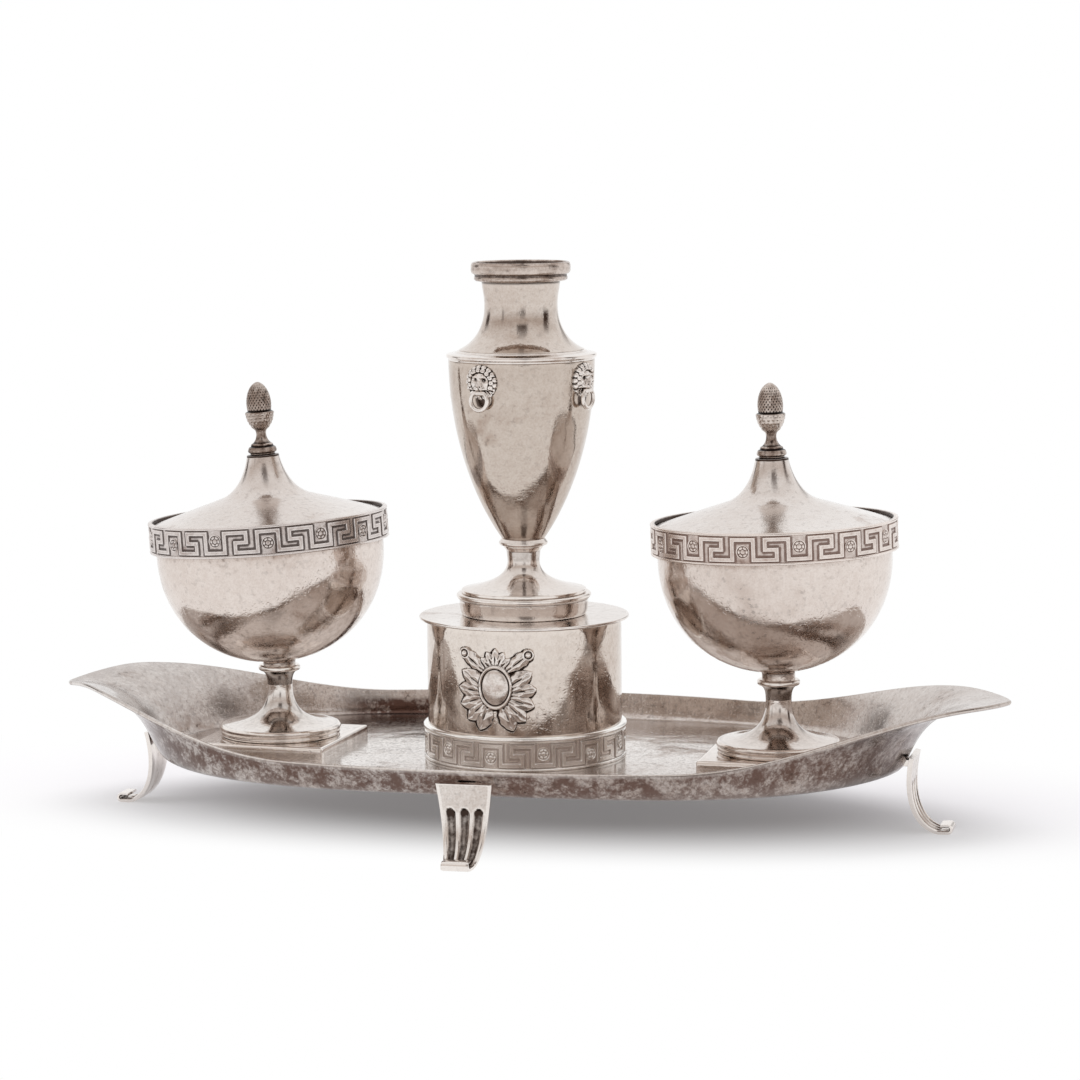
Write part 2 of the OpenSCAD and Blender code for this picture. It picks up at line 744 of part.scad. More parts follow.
// A pointed leaf lying along +X
function leaf(l, w) = concat(
    [for (i = [0 : 7]) [l * i / 8, w / 2 * pow(sin(180 * pow(i / 8, 1.3)), 0.8)]],
    [[l, 0]],
    [for (i = [7 : -1 : 1]) [l * i / 8, -w / 2 * pow(sin(180 * pow(i / 8, 1.3)), 0.8)]]
);

function oval(a, b) = [for (i = [0 : 35]) [a * cos(10 * i), b * sin(10 * i)]];

// Outline of the applied ornament: a plain oval among spreading leaves, under a fan of petals
module ornament_outline() {
    for (s = [0, 1])
        mirror([s, 0, 0]) {
            for (k = [0 : 4])
                translate([1.5, -1.5 - 0.6 * k, 0])
                    rotate(32 - 25 * k)
                        polygon(leaf(12 - 0.3 * k, 5));
            translate([2, 4])
                rotate(38)
                    polygon(leaf(13, 4.4));
            translate([10.6, 10.6])
                circle(r = 2, $fn = 32);
        }
    for (k = [-2 : 2])
        translate([0, 5])
            rotate(90 + 24 * k)
                polygon(leaf(7.6 - 0.5 * abs(k), 3.2));
    polygon(oval(5.6, 7.4));
}

module round_box_relief(depth) {
    rotate([0, 0, mount_turn])
    intersection() {
        tube(floor_z + 2, box_h - 4, box_r + depth, box_r);
        translate([0, 0, mount_z])
            rotate([90, 0, 0])
                linear_extrude(box_r + 2 * depth)
                    children();
    }
}

module box_mount() {
    color(silver)
    union() {
        round_box_relief(1)
            ornament_outline();
        round_box_relief(2)
            polygon(oval(4.2, 6));
    }
}

module cover_plate() {
    color(silver)
    translate([0, 0, cover_z])
        rotate_extrude()
            polygon([
                [tie_r + stud_gap, 0], [cover_r - 0.3, 0], [cover_r, 0.3], [cover_r, cover_t - 0.3],
                [cover_r - 0.3, cover_t], [tie_r + stud_gap, cover_t]
            ]);
}

module cover_bezel() {
    outer = box_r - box_wall_t - lift_gap;
    color(dark_silver)
    tube(cover_z - bezel_drop, bezel_drop, outer, outer - bezel_t);
}

// Hollow step under the vase: a short wall with a cove at its foot and a rounded upper edge
module vase_step() {
    h = step_h;
    color(silver)
    translate([0, 0, cover_top])
        rotate_extrude()
            polygon([
                [step_r - 1.9, 0], [step_r - 1.8, 0.25 * h], [step_r - 1.1, 0.4 * h],
                [step_r - 0.8, h - 1.8], [step_r - 0.2, h - 1.5], [step_r, h - 1], [step_r, h - 0.5],
                [step_r - 0.5, h], [tie_r + stud_gap, h], [tie_r + stud_gap, h - 1.2],
                [step_r - 2.4, h - 1.2], [step_r - 2.9, 0]
            ]);
}

// Spreading foot and stem
vase_foot_curve = [
    [step_r - 1.6, 1.2], [0.42 * step_r, 3.4], [vase_stem_r - 0.3, 6], [vase_stem_r, 11.2]
];

module vase_foot() {
    h = vase_stem_h;
    bore = tie_r + stud_gap;
    color(silver)
    translate([0, 0, step_top])
        rotate_extrude()
            polygon(concat(
                [[bore, 0], [step_r - 1.6, 0]],
                curve(vase_foot_curve, 12),
                [[vase_stem_r + 0.3, h - 1.6], [vase_stem_r + 1.2, h - 0.5],
                 [vase_stem_r + 1.4, h], [bore, h]]
            ));
}

module vase_knop() {
    bore = tie_r + stud_gap;
    color(silver)
    translate([0, 0, knop_z])
        rotate_extrude()
            polygon([
                [bore, 0], [vase_stem_r + 1.4, 0], [knop_r - 0.3, 0.3], [knop_r, 0.8],
                [knop_r, 1.3], [knop_r - 0.4, 1.8], [knop_r - 0.9, knop_h], [bore, knop_h]
            ]);
}

// Ovoid body, from the knop to the shoulder
body_curve = [
    [knop_r - 0.9, 0], [0.62 * shoulder_r, 0.19 * body_h],
    [0.99 * shoulder_r, 0.53 * body_h], [shoulder_r, body_h]
];
body_steps = 16;

// Outer radius of the body at a height in the part's frame
body_table = [for (q = curve(body_curve, body_steps)) [body_z + q[1], q[0]]];
function body_radius(z) = lookup(z, body_table);

module vase_body() {
    inside = [for (q = curve_beside(body_curve, body_steps, wall_t))
        if (q[1] > 3) q];
    floor_r = inside[0][0];
    bore = tie_r + stud_gap;
    color(dull_silver)
    translate([0, 0, body_z])
        rotate_extrude()
            polygon(concat(
                [[bore, 0]], curve(body_curve, body_steps),
                [[shoulder_r - wall_t, body_h]], back_to_front(inside),
                [[floor_r - 0.4, 2.4], [bore, 2.4]]
            ));
}

// Moulded ring that joins the body to the neck
module vase_shoulder() {
    r = shoulder_r;
    color(silver)
    translate([0, 0, shoulder_z])
        rotate_extrude()
            polygon([
                [r - wall_t, 0], [r, 0], [r + 0.1, 0.7], [r + 0.6, 1], [r + 0.7, 1.6], [r + 0.5, 2.1],
                [r - 0.4, 2.3], [r - 2.4, 2.6], [r - 3, shoulder_h], [r - 5, shoulder_h],
                [r - 5, shoulder_h - wall_t], [r - wall_t - 0.6, 1.3]
            ]);
}

neck_curve = [
    [shoulder_r - 3.6, 0.3], [shoulder_r - 7.6, 2], [neck_r - 0.2, 6.6], [neck_r, 15]
];
neck_top = [[neck_r, 15], [neck_r, 18], [neck_r + 0.8, neck_h - 2], [neck_r + 0.8, neck_h]];

module vase_neck() {
    low_inside = [for (q = curve_beside(neck_curve, 10, wall_t)) if (q[1] > 0) q];
    color(silver)
    translate([0, 0, neck_z])
        rotate_extrude()
            polygon(concat(
                [[shoulder_r - 3.4, 0]], curve(neck_curve, 10), curve(neck_top, 4),
                back_to_front(curve_beside(neck_top, 4, wall_t)), back_to_front(low_inside),
                [[shoulder_r - 5, 0]]
            ));
}

// Two rolls with a groove between them, flared open inside
module vase_lip() {
    h = lip_h;
    color(silver)
    translate([0, 0, lip_z])
        rotate_extrude()
            polygon([
                [neck_r - wall_t + 0.8, 0], [neck_r + 0.8, 0], [lip_r - 1.6, 0.3],
                [lip_r - 1.1, 0.7], [lip_r - 1, 1.3], [lip_r - 1.3, 2], [lip_r - 1.1, 2.4],
                [lip_r - 0.3, 2.8], [lip_r, 3.5], [lip_r, h - 1], [lip_r - 0.3, h - 0.3],
                [lip_r - 0.7, h], [lip_r - 1.2, h], [lip_r - 1.9, h - 1.4], [neck_r, 2.2]
            ]);
}

// Rod with a head inside the vase that draws the whole column down on to the cover
module vase_tie_rod() {
    low = cover_z - nut_h - 1;
    color(dark_silver)
    union() {
        translate([0, 0, low])
            cylinder(h = body_z + 2.4 - low, r = tie_r);
        translate([0, 0, body_z + 2.4])
            cylinder(h = 1.6, r = 3.6);
    }
}

module vase_tie_nut() {
    color(dark_silver)
    translate([0, 0, cover_z - nut_h])
    difference() {
        cylinder(h = nut_h, r = nut_r, $fn = 6);
        translate([0, 0, -1])
            cylinder(h = nut_h + 2, r = tie_r + stud_gap);
    }
}

mask_spokes = 20;
mask_rings = 6;

function bump(x, y, cx, cy, wx, wy) = exp(-pow((x - cx) / wx, 2) - pow((y - cy) / wy, 2));

// Height of a mask above the body at a point given in mask radii: a domed head with brows,
// a broad muzzle and a curled mane
function mask_height(x, y, ring, spoke) =
    let (u = abs(x), rho = ring / mask_rings,
         curl = ring > 3 ? 0.45 * (((ring + spoke) % 2) * 2 - 1) : 0)
    0.7 + 1.7 * (1 - rho * rho) + (ring == mask_rings ? 0 : curl)
        + 2.1 * bump(x, y, 0, -0.58, 0.34, 0.34)
        + 0.7 * bump(u, y, 0.27, 0.22, 0.17, 0.14)
        + 0.6 * bump(x, y, 0, -0.1, 0.13, 0.26)
        - 0.7 * bump(u, y, 0.26, 0.02, 0.12, 0.1);

// Point at a height above the body, x to the side and y above the middle of the mask
function on_body(x, y, raised) =
    let (r = body_radius(mask_z + y), a = x / r * 180 / PI)
    [(r + raised) * cos(a), (r + raised) * sin(a), mask_z + y];

// One ring of points of a mask, at its surface or sunk under the body's
function mask_ring(ring, sunk) = [for (i = [0 : mask_spokes - 1])
    let (a = 360 * i / mask_spokes,
         rho = ring / mask_rings * (ring == mask_rings && i % 2 == 0 ? 1.04 : 1),
         x = rho * cos(a), y = rho * sin(a))
    on_body(mask_r * x, mask_r * y, sunk ? -0.4 : mask_height(x, y, ring, i))];

module mask_relief() {
    n = mask_spokes;
    points = concat(
        [on_body(0, 0, mask_height(0, 0, 0, 0))],
        [for (ring = [1 : mask_rings]) each mask_ring(ring, false)],
        mask_ring(mask_rings, true),
        [on_body(0, 0, -0.4)]
    );
    last = len(points) - 1;
    faces = concat(
        [for (i = [0 : n - 1]) [0, 1 + (i + 1) % n, 1 + i]],
        [for (b = [0 : mask_rings - 1], i = [0 : n - 1])
            let (p = 1 + b * n, q = p + n, i2 = (i + 1) % n)
            each [[p + i, p + i2, q + i2], [p + i, q + i2, q + i]]],
        [for (i = [0 : n - 1]) [last, last - n + i, last - n + (i + 1) % n]]
    );
    polyhedron(points = points, faces = faces);
}

// A lion mask, its back shaped to the body, with the bore for its ring's bar and room
// beside the jaw for the ring's arms
module lion_mask(i) {
    r = body_radius(bar_z) + bar_out;
    jaw = ring_arm_y - ring_wire_r - 0.15;
    color(silver)
    rotate([0, 0, -90 + vase_turn + 90 * i])
    difference() {
        mask_relief();
        translate([0, 0, body_z])
            rotate_extrude()
                polygon(concat([[0, 0]], curve(body_curve, body_steps), [[0, body_h]]));
        translate([r, 0, bar_z])
            rotate([90, 0, 0])
                cylinder(h = mask_w, r = ring_wire_r + stud_gap, center = true);
        for (s = [0, 1])
            mirror([0, s, 0])
                translate([r - ring_wire_r - 0.3, jaw, bar_z - mask_w])
                    cube([mask_w, mask_w, mask_w + ring_wire_r + 0.3]);
    }
}

// A drop ring: a bar through the lion's mouth and a round loop below it
module lion_ring(i) {
    r = body_radius(bar_z) + bar_out;
    open = acos(ring_drop / ring_r);
    color(silver)
    rotate([0, 0, -90 + vase_turn + 90 * i])
    translate([r, 0, bar_z])
    union() {
        rotate([90, 0, 0])
            cylinder(h = 2 * ring_arm_y, r = ring_wire_r, center = true);
        for (s = [-1, 1])
            translate([0, s * ring_arm_y, 0])
                sphere(r = ring_wire_r, $fn = 48);
        translate([0, 0, -ring_drop])
            rotate([90, 0, 90])
                rotate([0, 0, 90 + open])
                    rotate_extrude(angle = 360 - 2 * open)
                        translate([ring_r, 0])
                            circle(r = ring_wire_r, $fn = 32);
    }
}

tray();
foot(-90, front_foot_off);  // foot_front
foot(90);  // foot_back
foot(180);  // foot_left
foot(0);  // foot_right

plinth(-bowl_x, ink_plinth_turn);  // ink_plinth
bowl_foot(-bowl_x, ink_lean);  // ink_foot
fixing_stud(-bowl_x);  // ink_stud
under_nut(-bowl_x);  // ink_nut
bowl(-bowl_x, ink_lean, ink_neck);  // ink_bowl
bowl_band(-bowl_x, ink_lean, ink_neck, ink_key_turn);  // ink_band
liner(-bowl_x, ink_lean, ink_neck);  // ink_liner
lid(-bowl_x, ink_lean, ink_neck);  // ink_lid
lid_bezel(-bowl_x, ink_lean, ink_neck);  // ink_lid_bezel
finial(-bowl_x, ink_lean, ink_neck);  // ink_finial
finial_nut(-bowl_x, ink_lean, ink_neck);  // ink_finial_nut

plinth(bowl_x, 0);  // sand_plinth
bowl_foot(bowl_x, sand_lean);  // sand_foot
fixing_stud(bowl_x);  // sand_stud
under_nut(bowl_x);  // sand_nut
bowl(bowl_x, sand_lean, sand_neck);  // sand_bowl
bowl_band(bowl_x, sand_lean, sand_neck, sand_key_turn);  // sand_band
sifter(bowl_x, sand_lean, sand_neck);  // sand_sifter
lid(bowl_x, sand_lean, sand_neck);  // sand_lid
lid_bezel(bowl_x, sand_lean, sand_neck);  // sand_lid_bezel
finial(bowl_x, sand_lean, sand_neck);  // sand_finial
finial_nut(bowl_x, sand_lean, sand_neck);  // sand_finial_nut

box_wall();
box_base();
box_band();
box_screw();
under_nut(0);  // box_nut
box_mount();

cover_plate();
cover_bezel();
vase_step();
vase_foot();
vase_knop();
vase_body();
vase_shoulder();
vase_neck();
vase_lip();
vase_tie_rod();
vase_tie_nut();

lion_mask(0);  // lion_mask_1
lion_mask(1);  // lion_mask_2
lion_mask(2);  // lion_mask_3
lion_mask(3);  // lion_mask_4
lion_ring(0);  // lion_ring_1
lion_ring(1);  // lion_ring_2
lion_ring(2);  // lion_ring_3
lion_ring(3);  // lion_ring_4
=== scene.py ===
import math

import bmesh
import bpy
import numpy as np
from mathutils import Matrix, Vector


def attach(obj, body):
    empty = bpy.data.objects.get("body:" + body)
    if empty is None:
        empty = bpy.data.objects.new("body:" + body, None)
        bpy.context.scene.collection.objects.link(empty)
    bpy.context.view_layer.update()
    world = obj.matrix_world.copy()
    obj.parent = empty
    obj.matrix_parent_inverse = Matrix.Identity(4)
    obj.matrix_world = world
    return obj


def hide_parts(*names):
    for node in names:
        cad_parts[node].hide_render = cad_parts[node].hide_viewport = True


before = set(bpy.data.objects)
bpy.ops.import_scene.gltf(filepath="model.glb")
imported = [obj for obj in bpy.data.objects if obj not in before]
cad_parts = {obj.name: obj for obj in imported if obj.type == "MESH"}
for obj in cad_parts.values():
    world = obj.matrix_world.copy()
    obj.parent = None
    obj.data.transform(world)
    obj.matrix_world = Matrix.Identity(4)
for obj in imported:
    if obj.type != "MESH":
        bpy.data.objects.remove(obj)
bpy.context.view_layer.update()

# Sizes in millimetres, as in the construction model: z = 0 is the table, -Y the front
MM = 0.001
STEPS = 160

TRAY_LEN, TRAY_W = 320, 152
TRAY_SIDE_H, TRAY_END_H = 7.4, 21.5
PROW_REACH, PROW_RISE = 33, 100
LEFT_DROOP, RIGHT_DROOP = 3, 0.2
SIDE_FLARE, SHEET = 5.5, 1
RIM_T = SHEET + 0.4

FLOOR_Z = 21
PAD_UP, FOOT_TOP_W, FOOT_ANKLE_W = 4.3, 18, 10
STRAP_T, FOOT_SPREAD, TOE_LEN = 1.8, 8.2, 3
FLUTE_DEPTH, PAD_GAP, FRONT_FOOT_OFF = 0.7, 0.6, 1.2

PLINTH_W, PLINTH_H, INK_PLINTH_TURN = 46, 3.8, -3
FOOT_R, FOOT_H, STEM_R = 20.4, 23.8, 4.2
BOWL_R, BOWL_DEPTH = 38, 38
BAND_H, BAND_STEP = 10.2, 2.1
LINER_R, LINER_DEPTH, LINER_WALL = 28, 32, 2
LIFT_GAP = 0.3

KEY_PITCH, KEY_BOX, KEY_W = 18, 6.8, 1.3
KEY_RAISE, KEY_BORDER = 0.4, 0.9

BELL_H, BELL_R, LID_SINK = 19.9, 5.3, 1.2
FINIAL_H, ACORN_R = 24.3, 4.8

BOX_R, BOX_H, BOX_BAND_H, BOX_KEY_TURN = 32.1, 45.8, 11.5, -66
COVER_LIP, COVER_T = 2.5, 1.05
STEP_R, STEP_H = 22.2, 7.3
VASE_STEM_H, VASE_STEM_R = 15.4, 5.3
KNOP_R, KNOP_H = 8.05, 2.6
BODY_H, SHOULDER_R, SHOULDER_H = 58.7, 24, 3.2
NECK_H, NECK_R = 22.3, 12
LIP_H, LIP_R = 6.4, 16.3
VASE_TURN, MASK_W = -19, 11.4
RING_R, RING_WIRE_R = 3.1, 0.75

TRAY_HALF = TRAY_LEN / 2
FLOOR_HALF = TRAY_HALF - PROW_REACH
FLOOR_HALF_W = TRAY_W / 2 - SIDE_FLARE
FLOOR_PULL = 1 - FLOOR_HALF / TRAY_HALF
BOWL_X = FLOOR_HALF - 19 - PLINTH_W / 2
PLINTH_TOP = FLOOR_Z + PLINTH_H
COLLAR_Z = PLINTH_TOP + FOOT_H
COLLAR_R = STEM_R + 2.8
BAND_LOW = BOWL_DEPTH + 1.6
RIM_H = BAND_LOW + BAND_H
BAND_R = BOWL_R + BAND_STEP
RIM_R = BAND_R - 1.6
LID_T, FLANGE_T = 0.9, 1.2
SEAT_H = RIM_H - LID_SINK - LID_T - FLANGE_T
LID_R = RIM_R - LIFT_GAP
BRIM_R = LID_R - 3.6
BELL_FOOT = (15.4, 5.8)
BRIM_SLOPE = (BELL_FOOT[1] + LID_SINK) / (LID_R - BELL_FOOT[0])
UNDER_DROP = LID_T * math.hypot(1, BRIM_SLOPE)
BEZEL_R = LINER_R - LINER_WALL - LIFT_GAP

COVER_Z = FLOOR_Z + BOX_H
COVER_R = BOX_R + COVER_LIP
COVER_TOP = COVER_Z + COVER_T
BOX_BAND_R = BOX_R + 1.3
MOUNT_Z, MOUNT_TURN = FLOOR_Z + 0.6 * BOX_H, -3
STEP_TOP = COVER_TOP + STEP_H
KNOP_Z = STEP_TOP + VASE_STEM_H
BODY_Z = KNOP_Z + KNOP_H
SHOULDER_Z = BODY_Z + BODY_H
NECK_Z = SHOULDER_Z + SHOULDER_H
LIP_Z = NECK_Z + NECK_H
MASK_R = MASK_W / 2
MASK_Z = SHOULDER_Z - 1.04 * MASK_R
BAR_Z = MASK_Z - 0.6 * MASK_R
BAR_OUT = 1.9
RING_DROP = 0.78 * RING_R
RING_ARM = math.sqrt(RING_R ** 2 - RING_DROP ** 2)

# The ink vessel leans more on its foot than the sand vessel does: (x, lean, neck, turn of key)
INK = (-BOWL_X, 3.6, 1.2, -98)
SAND = (BOWL_X, 1.7, 2.4, -69)


def vessel_place(vessel, up=0):
    """Where a leaning bowl's own upright axis stands in the frame, raised by up."""
    x, lean, neck = vessel[:3]
    return (Matrix.Translation((x * MM, 0, COLLAR_Z * MM))
            @ Matrix.Rotation(math.radians(-lean), 4, "Y")
            @ Matrix.Translation((0, 0, (neck + up) * MM)))


def lifted(x, z, turn=0):
    return Matrix.Translation((x * MM, 0, z * MM)) @ Matrix.Rotation(math.radians(turn), 4, "Z")


# Curves and outlines ------------------------------------------------------------------

def smooth(t):
    t = np.clip(t, 0, 1)
    return t * t * (3 - 2 * t)


def curve(p, n):
    """n + 1 points of the cubic through its first and last control points."""
    p, t = np.array(p, float), np.linspace(0, 1, n + 1)[:, None]
    return (1 - t) ** 3 * p[0] + 3 * (1 - t) ** 2 * t * p[1] + 3 * (1 - t) * t * t * p[2] + t ** 3 * p[3]


def curve_left(p, n):
    """Unit vectors to the left of that curve's direction."""
    p, t = np.array(p, float), np.linspace(0, 1, n + 1)[:, None]
    run = (1 - t) ** 2 * (p[1] - p[0]) + 2 * (1 - t) * t * (p[2] - p[1]) + t * t * (p[3] - p[2])
    run /= np.linalg.norm(run, axis=1)[:, None]
    return np.column_stack([-run[:, 1], run[:, 0]])


def joined(*runs):
    return np.vstack([np.atleast_2d(np.array(r, float)) for r in runs])


def stepped(r, z, *steps):
    """Corners of an outline, each given by how far it lies from radius r and height z."""
    return [[r + a, z + b] for a, b in steps]


def softened(line, radius):
    """Every corner of a closed outline that turns by over 24 degrees, rounded off."""
    line, out = np.array(line, float), []
    for i, p in enumerate(line):
        a, b = line[i - 1] - p, line[(i + 1) % len(line)] - p
        la, lb = np.linalg.norm(a), np.linalg.norm(b)
        if p[0] < 1e-6 or min(la, lb) < 1e-6:
            out.append(p)
            continue
        turn = math.pi - math.acos(np.clip(a @ b / la / lb, -1, 1))
        if turn < math.radians(24):
            out.append(p)
            continue
        cut = min(radius, 0.42 * la, 0.42 * lb)
        s, e = p + a / la * cut, p + b / lb * cut
        out += [(1 - t) ** 2 * s + 2 * t * (1 - t) * p + t * t * e for t in (0, 0.25, 0.5, 0.75, 1)]
    return np.array(out)


def evened(line, longest):
    """The closed outline with its long stretches divided, so that painted shade and wear can be marked on
    them.
    """
    out = []
    for i, p in enumerate(line):
        q = line[(i + 1) % len(line)]
        n = max(1, int(np.linalg.norm(q - p) / longest))
        if p[0] < 1e-6 and q[0] < 1e-6:
            n = 1
        out += [p + (q - p) * k / n for k in range(n)]
    return np.array(out)


# Pieces -------------------------------------------------------------------------------

def grid_faces(rows, cols, base=0, round_rows=False, round_cols=False):
    i, j = np.meshgrid(np.arange(rows if round_rows else rows - 1),
                       np.arange(cols if round_cols else cols - 1), indexing="ij")
    i2, j2 = (i + 1) % rows, (j + 1) % cols
    quads = np.stack([i * cols + j, i * cols + j2, i2 * cols + j2, i2 * cols + j], -1)
    return (quads.reshape(-1, 4) + base).tolist()


def mark_shade_and_wear(mesh, reach, passes, painted_shade_and_grime):
    """Writes to each point how deep it lies in a hollow, which is darkened as deposit and painted shade,
    and how far it stands on an edge. The extra mask adds places darkened, mostly as painted shade."""
    n = len(mesh.vertices)
    place, normal = np.empty(n * 3), np.empty(n * 3)
    mesh.vertices.foreach_get("co", place)
    mesh.vertex_normals.foreach_get("vector", normal)
    place, normal = place.reshape(-1, 3), normal.reshape(-1, 3)
    ends = np.empty(len(mesh.edges) * 2, np.int32)
    mesh.edges.foreach_get("vertices", ends)
    a, b = ends[::2], ends[1::2]
    count = np.maximum(np.bincount(a, minlength=n) + np.bincount(b, minlength=n), 1)[:, None]
    flat = place.copy()
    for _ in range(passes):
        near = np.column_stack([
            np.bincount(a, flat[b, k], n) + np.bincount(b, flat[a, k], n) for k in range(3)])
        flat = 0.4 * flat + 0.6 * near / count
    rise = ((flat - place) * normal).sum(1) / (reach * MM)
    for name, value in (("hollow", np.maximum(rise, 0 if painted_shade_and_grime is None else painted_shade_and_grime)), ("edge", -rise)):
        mesh.attributes.new(name, "FLOAT", "POINT").data.foreach_set(
            "value", np.clip(value, 0, 1).astype(np.float32))


def piece(name, points, faces, body, metal, nodes=(), place=None, crease=38, reach=0.12, passes=6,
          slot="silver", painted_shade_and_grime=None):
    """A mesh in millimetres, put in place, made solid and smooth, that rides on a body."""
    mesh = bpy.data.meshes.new(name)
    mesh.from_pydata((np.array(points, float) * MM).tolist(), [], faces)
    work = bmesh.new()
    work.from_mesh(mesh)
    bmesh.ops.recalc_face_normals(work, faces=work.faces)
    work.to_mesh(mesh)
    work.free()
    if place is not None:
        mesh.transform(place)
    mesh.shade_smooth()
    mesh.set_sharp_from_angle(angle=math.radians(crease))
    mark_shade_and_wear(mesh, reach, passes, painted_shade_and_grime)
    mesh.materials.append(metal)
    obj = bpy.data.objects.new(name, mesh)
    bpy.context.scene.collection.objects.link(obj)
    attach(obj, body)
    if nodes:
        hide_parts(*nodes)
    return obj


def spun(line, steps=STEPS, relief=None):
    """Points and faces of a closed outline [radius, height] turned about the upright axis.
    relief(angles, radius, height) gives what to add to the radius round one ring."""
    angle = np.linspace(0, 2 * math.pi, steps, endpoint=False)
    points, rings = [], []
    for r, z in line:
        if r < 1e-6:
            rings.append([len(points)])
            points.append((0, 0, z))
            continue
        out = r + (relief(angle, r, z) if relief else 0 * angle)
        rings.append(list(range(len(points), len(points) + steps)))
        points += np.column_stack([out * np.cos(angle), out * np.sin(angle), np.full(steps, z)]).tolist()
    faces = []
    for i, low in enumerate(rings):
        high = rings[(i + 1) % len(rings)]
        if len(low) == 1 and len(high) == 1:
            continue
        for k in range(steps):
            k2 = (k + 1) % steps
            if len(low) == 1:
                faces.append((low[0], high[k2], high[k]))
            elif len(high) == 1:
                faces.append((low[k], low[k2], high[0]))
            else:
                faces.append((low[k], low[k2], high[k2], high[k]))
    return points, faces


def turned(name, line, body, metal, nodes, place=None, corner=0.2, longest=1.6, steps=STEPS, relief=None,
           painted_shade_and_dirt=None, **how):
    """A piece turned on the lathe. An optional function of radius, height and angle says how dark each
    point is painted, mostly painted shade in gaps, insides and under overhangs.
    """
    line = evened(softened(line, corner), longest)
    points, faces = spun(line, steps, relief)
    if painted_shade_and_dirt:
        p = np.array(points)
        how["painted_shade_and_grime"] = painted_shade_and_dirt(np.hypot(p[:, 0], p[:, 1]), p[:, 2], np.arctan2(p[:, 1], p[:, 0]))
    return piece(name, points, faces, body, metal, nodes, place, **how)


# Finishes -----------------------------------------------------------------------------

class Sheet:
    """Short names for laying nodes in a material, a group or the world."""

    def __init__(self, tree):
        self.tree = tree

    def node(self, kind, **settings):
        made = self.tree.nodes.new(kind)
        for key, value in settings.items():
            setattr(made, key, value)
        return made

    def join(self, out, into):
        self.tree.links.new(out, into)

    def feed(self, socket, value):
        if isinstance(value, bpy.types.NodeSocket):
            self.join(value, socket)
        elif value is not None:
            socket.default_value = value

    def math(self, operation, a, b=None, c=None, clamp=False):
        made = self.node("ShaderNodeMath", operation=operation, use_clamp=clamp)
        for socket, value in zip(made.inputs, (a, b, c)):
            self.feed(socket, value)
        return made.outputs[0]

    def span(self, value, low, high, to_low=0.0, to_high=1.0, soft=True):
        made = self.node("ShaderNodeMapRange", interpolation_type="SMOOTHSTEP" if soft else "LINEAR")
        for key, v in (("Value", value), ("From Min", low), ("From Max", high), ("To Min", to_low),
                       ("To Max", to_high)):
            self.feed(made.inputs[key], v)
        return made.outputs["Result"]

    def blend(self, share, a, b, kind="MIX"):
        made = self.node("ShaderNodeMix", data_type="RGBA", blend_type=kind, clamp_factor=True)
        for socket, value in ((made.inputs[0], share), (made.inputs[6], a), (made.inputs[7], b)):
            self.feed(socket, value)
        return made.outputs[2]

    def noise(self, where, scale, detail=4.0, rough=0.55, warp=0.0):
        made = self.node("ShaderNodeTexNoise")
        for key, v in (("Vector", where), ("Scale", scale), ("Detail", detail), ("Roughness", rough),
                       ("Distortion", warp)):
            self.feed(made.inputs[key], v)
        return made.outputs["Fac"]

    def place(self, stretch=(1, 1, 1)):
        where = self.node("ShaderNodeTexCoord").outputs["Object"]
        if stretch == (1, 1, 1):
            return where
        made = self.node("ShaderNodeMapping")
        self.join(where, made.inputs["Vector"])
        made.inputs["Scale"].default_value = stretch
        return made.outputs["Vector"]


def group(name, takes, gives):
    """A shared effect with named sockets. takes is [(name, kind, value)], gives is [(name, kind)]."""
    tree = bpy.data.node_groups.new(name, "ShaderNodeTree")
    for title, kind, value in takes:
        socket = tree.interface.new_socket(title, in_out="INPUT", socket_type="NodeSocket" + kind)
        socket.default_value = value
    for title, kind in gives:
        tree.interface.new_socket(title, in_out="OUTPUT", socket_type="NodeSocket" + kind)
    sheet = Sheet(tree)
    return tree, sheet, sheet.node("NodeGroupInput").outputs, sheet.node("NodeGroupOutput").inputs


def make_tarnish():
    """Cloudy patches of tarnish, and the small spots that start inside and beside them."""
    tree, s, given, out = group(
        "Tarnish", [("Patch Size", "Float", 0.03), ("Cover", "Float", 0.5), ("Spots", "Float", 0.5)],
        [("Patches", "Float"), ("Spots", "Float"), ("Grain", "Float"), ("Cloud", "Float")])
    where = s.place()
    scale = s.math("DIVIDE", 1.0, given["Patch Size"])
    big = s.noise(where, scale, 5.0, 0.62, 0.6)
    fine = s.noise(where, s.math("MULTIPLY", scale, 7.0), 3.0, 0.6)
    mixed = s.math("ADD", s.math("MULTIPLY", big, 0.8), s.math("MULTIPLY", fine, 0.2))
    low = s.math("SUBTRACT", 0.68, s.math("MULTIPLY", given["Cover"], 0.36))
    patches = s.span(mixed, low, s.math("ADD", low, 0.16))
    speck = s.noise(where, 620.0, 2.0, 0.5)
    near = s.math("ADD", 0.3, s.math("MULTIPLY", patches, 0.7))
    spots = s.math("MULTIPLY", s.span(speck, 0.55, 0.7), s.math("MULTIPLY", near, given["Spots"]))
    grain = s.math("ADD", s.math("MULTIPLY", s.noise(where, 330.0, 4.0, 0.75), 0.55),
                   s.math("MULTIPLY", s.noise(where, 1500.0, 2.0, 0.6), 0.45))
    s.join(patches, out["Patches"])
    s.join(spots, out["Spots"])
    s.join(s.span(grain, 0.36, 0.66), out["Grain"])
    s.join(s.span(s.noise(where, 11.0, 2.0, 0.5), 0.35, 0.65), out["Cloud"])
    return tree


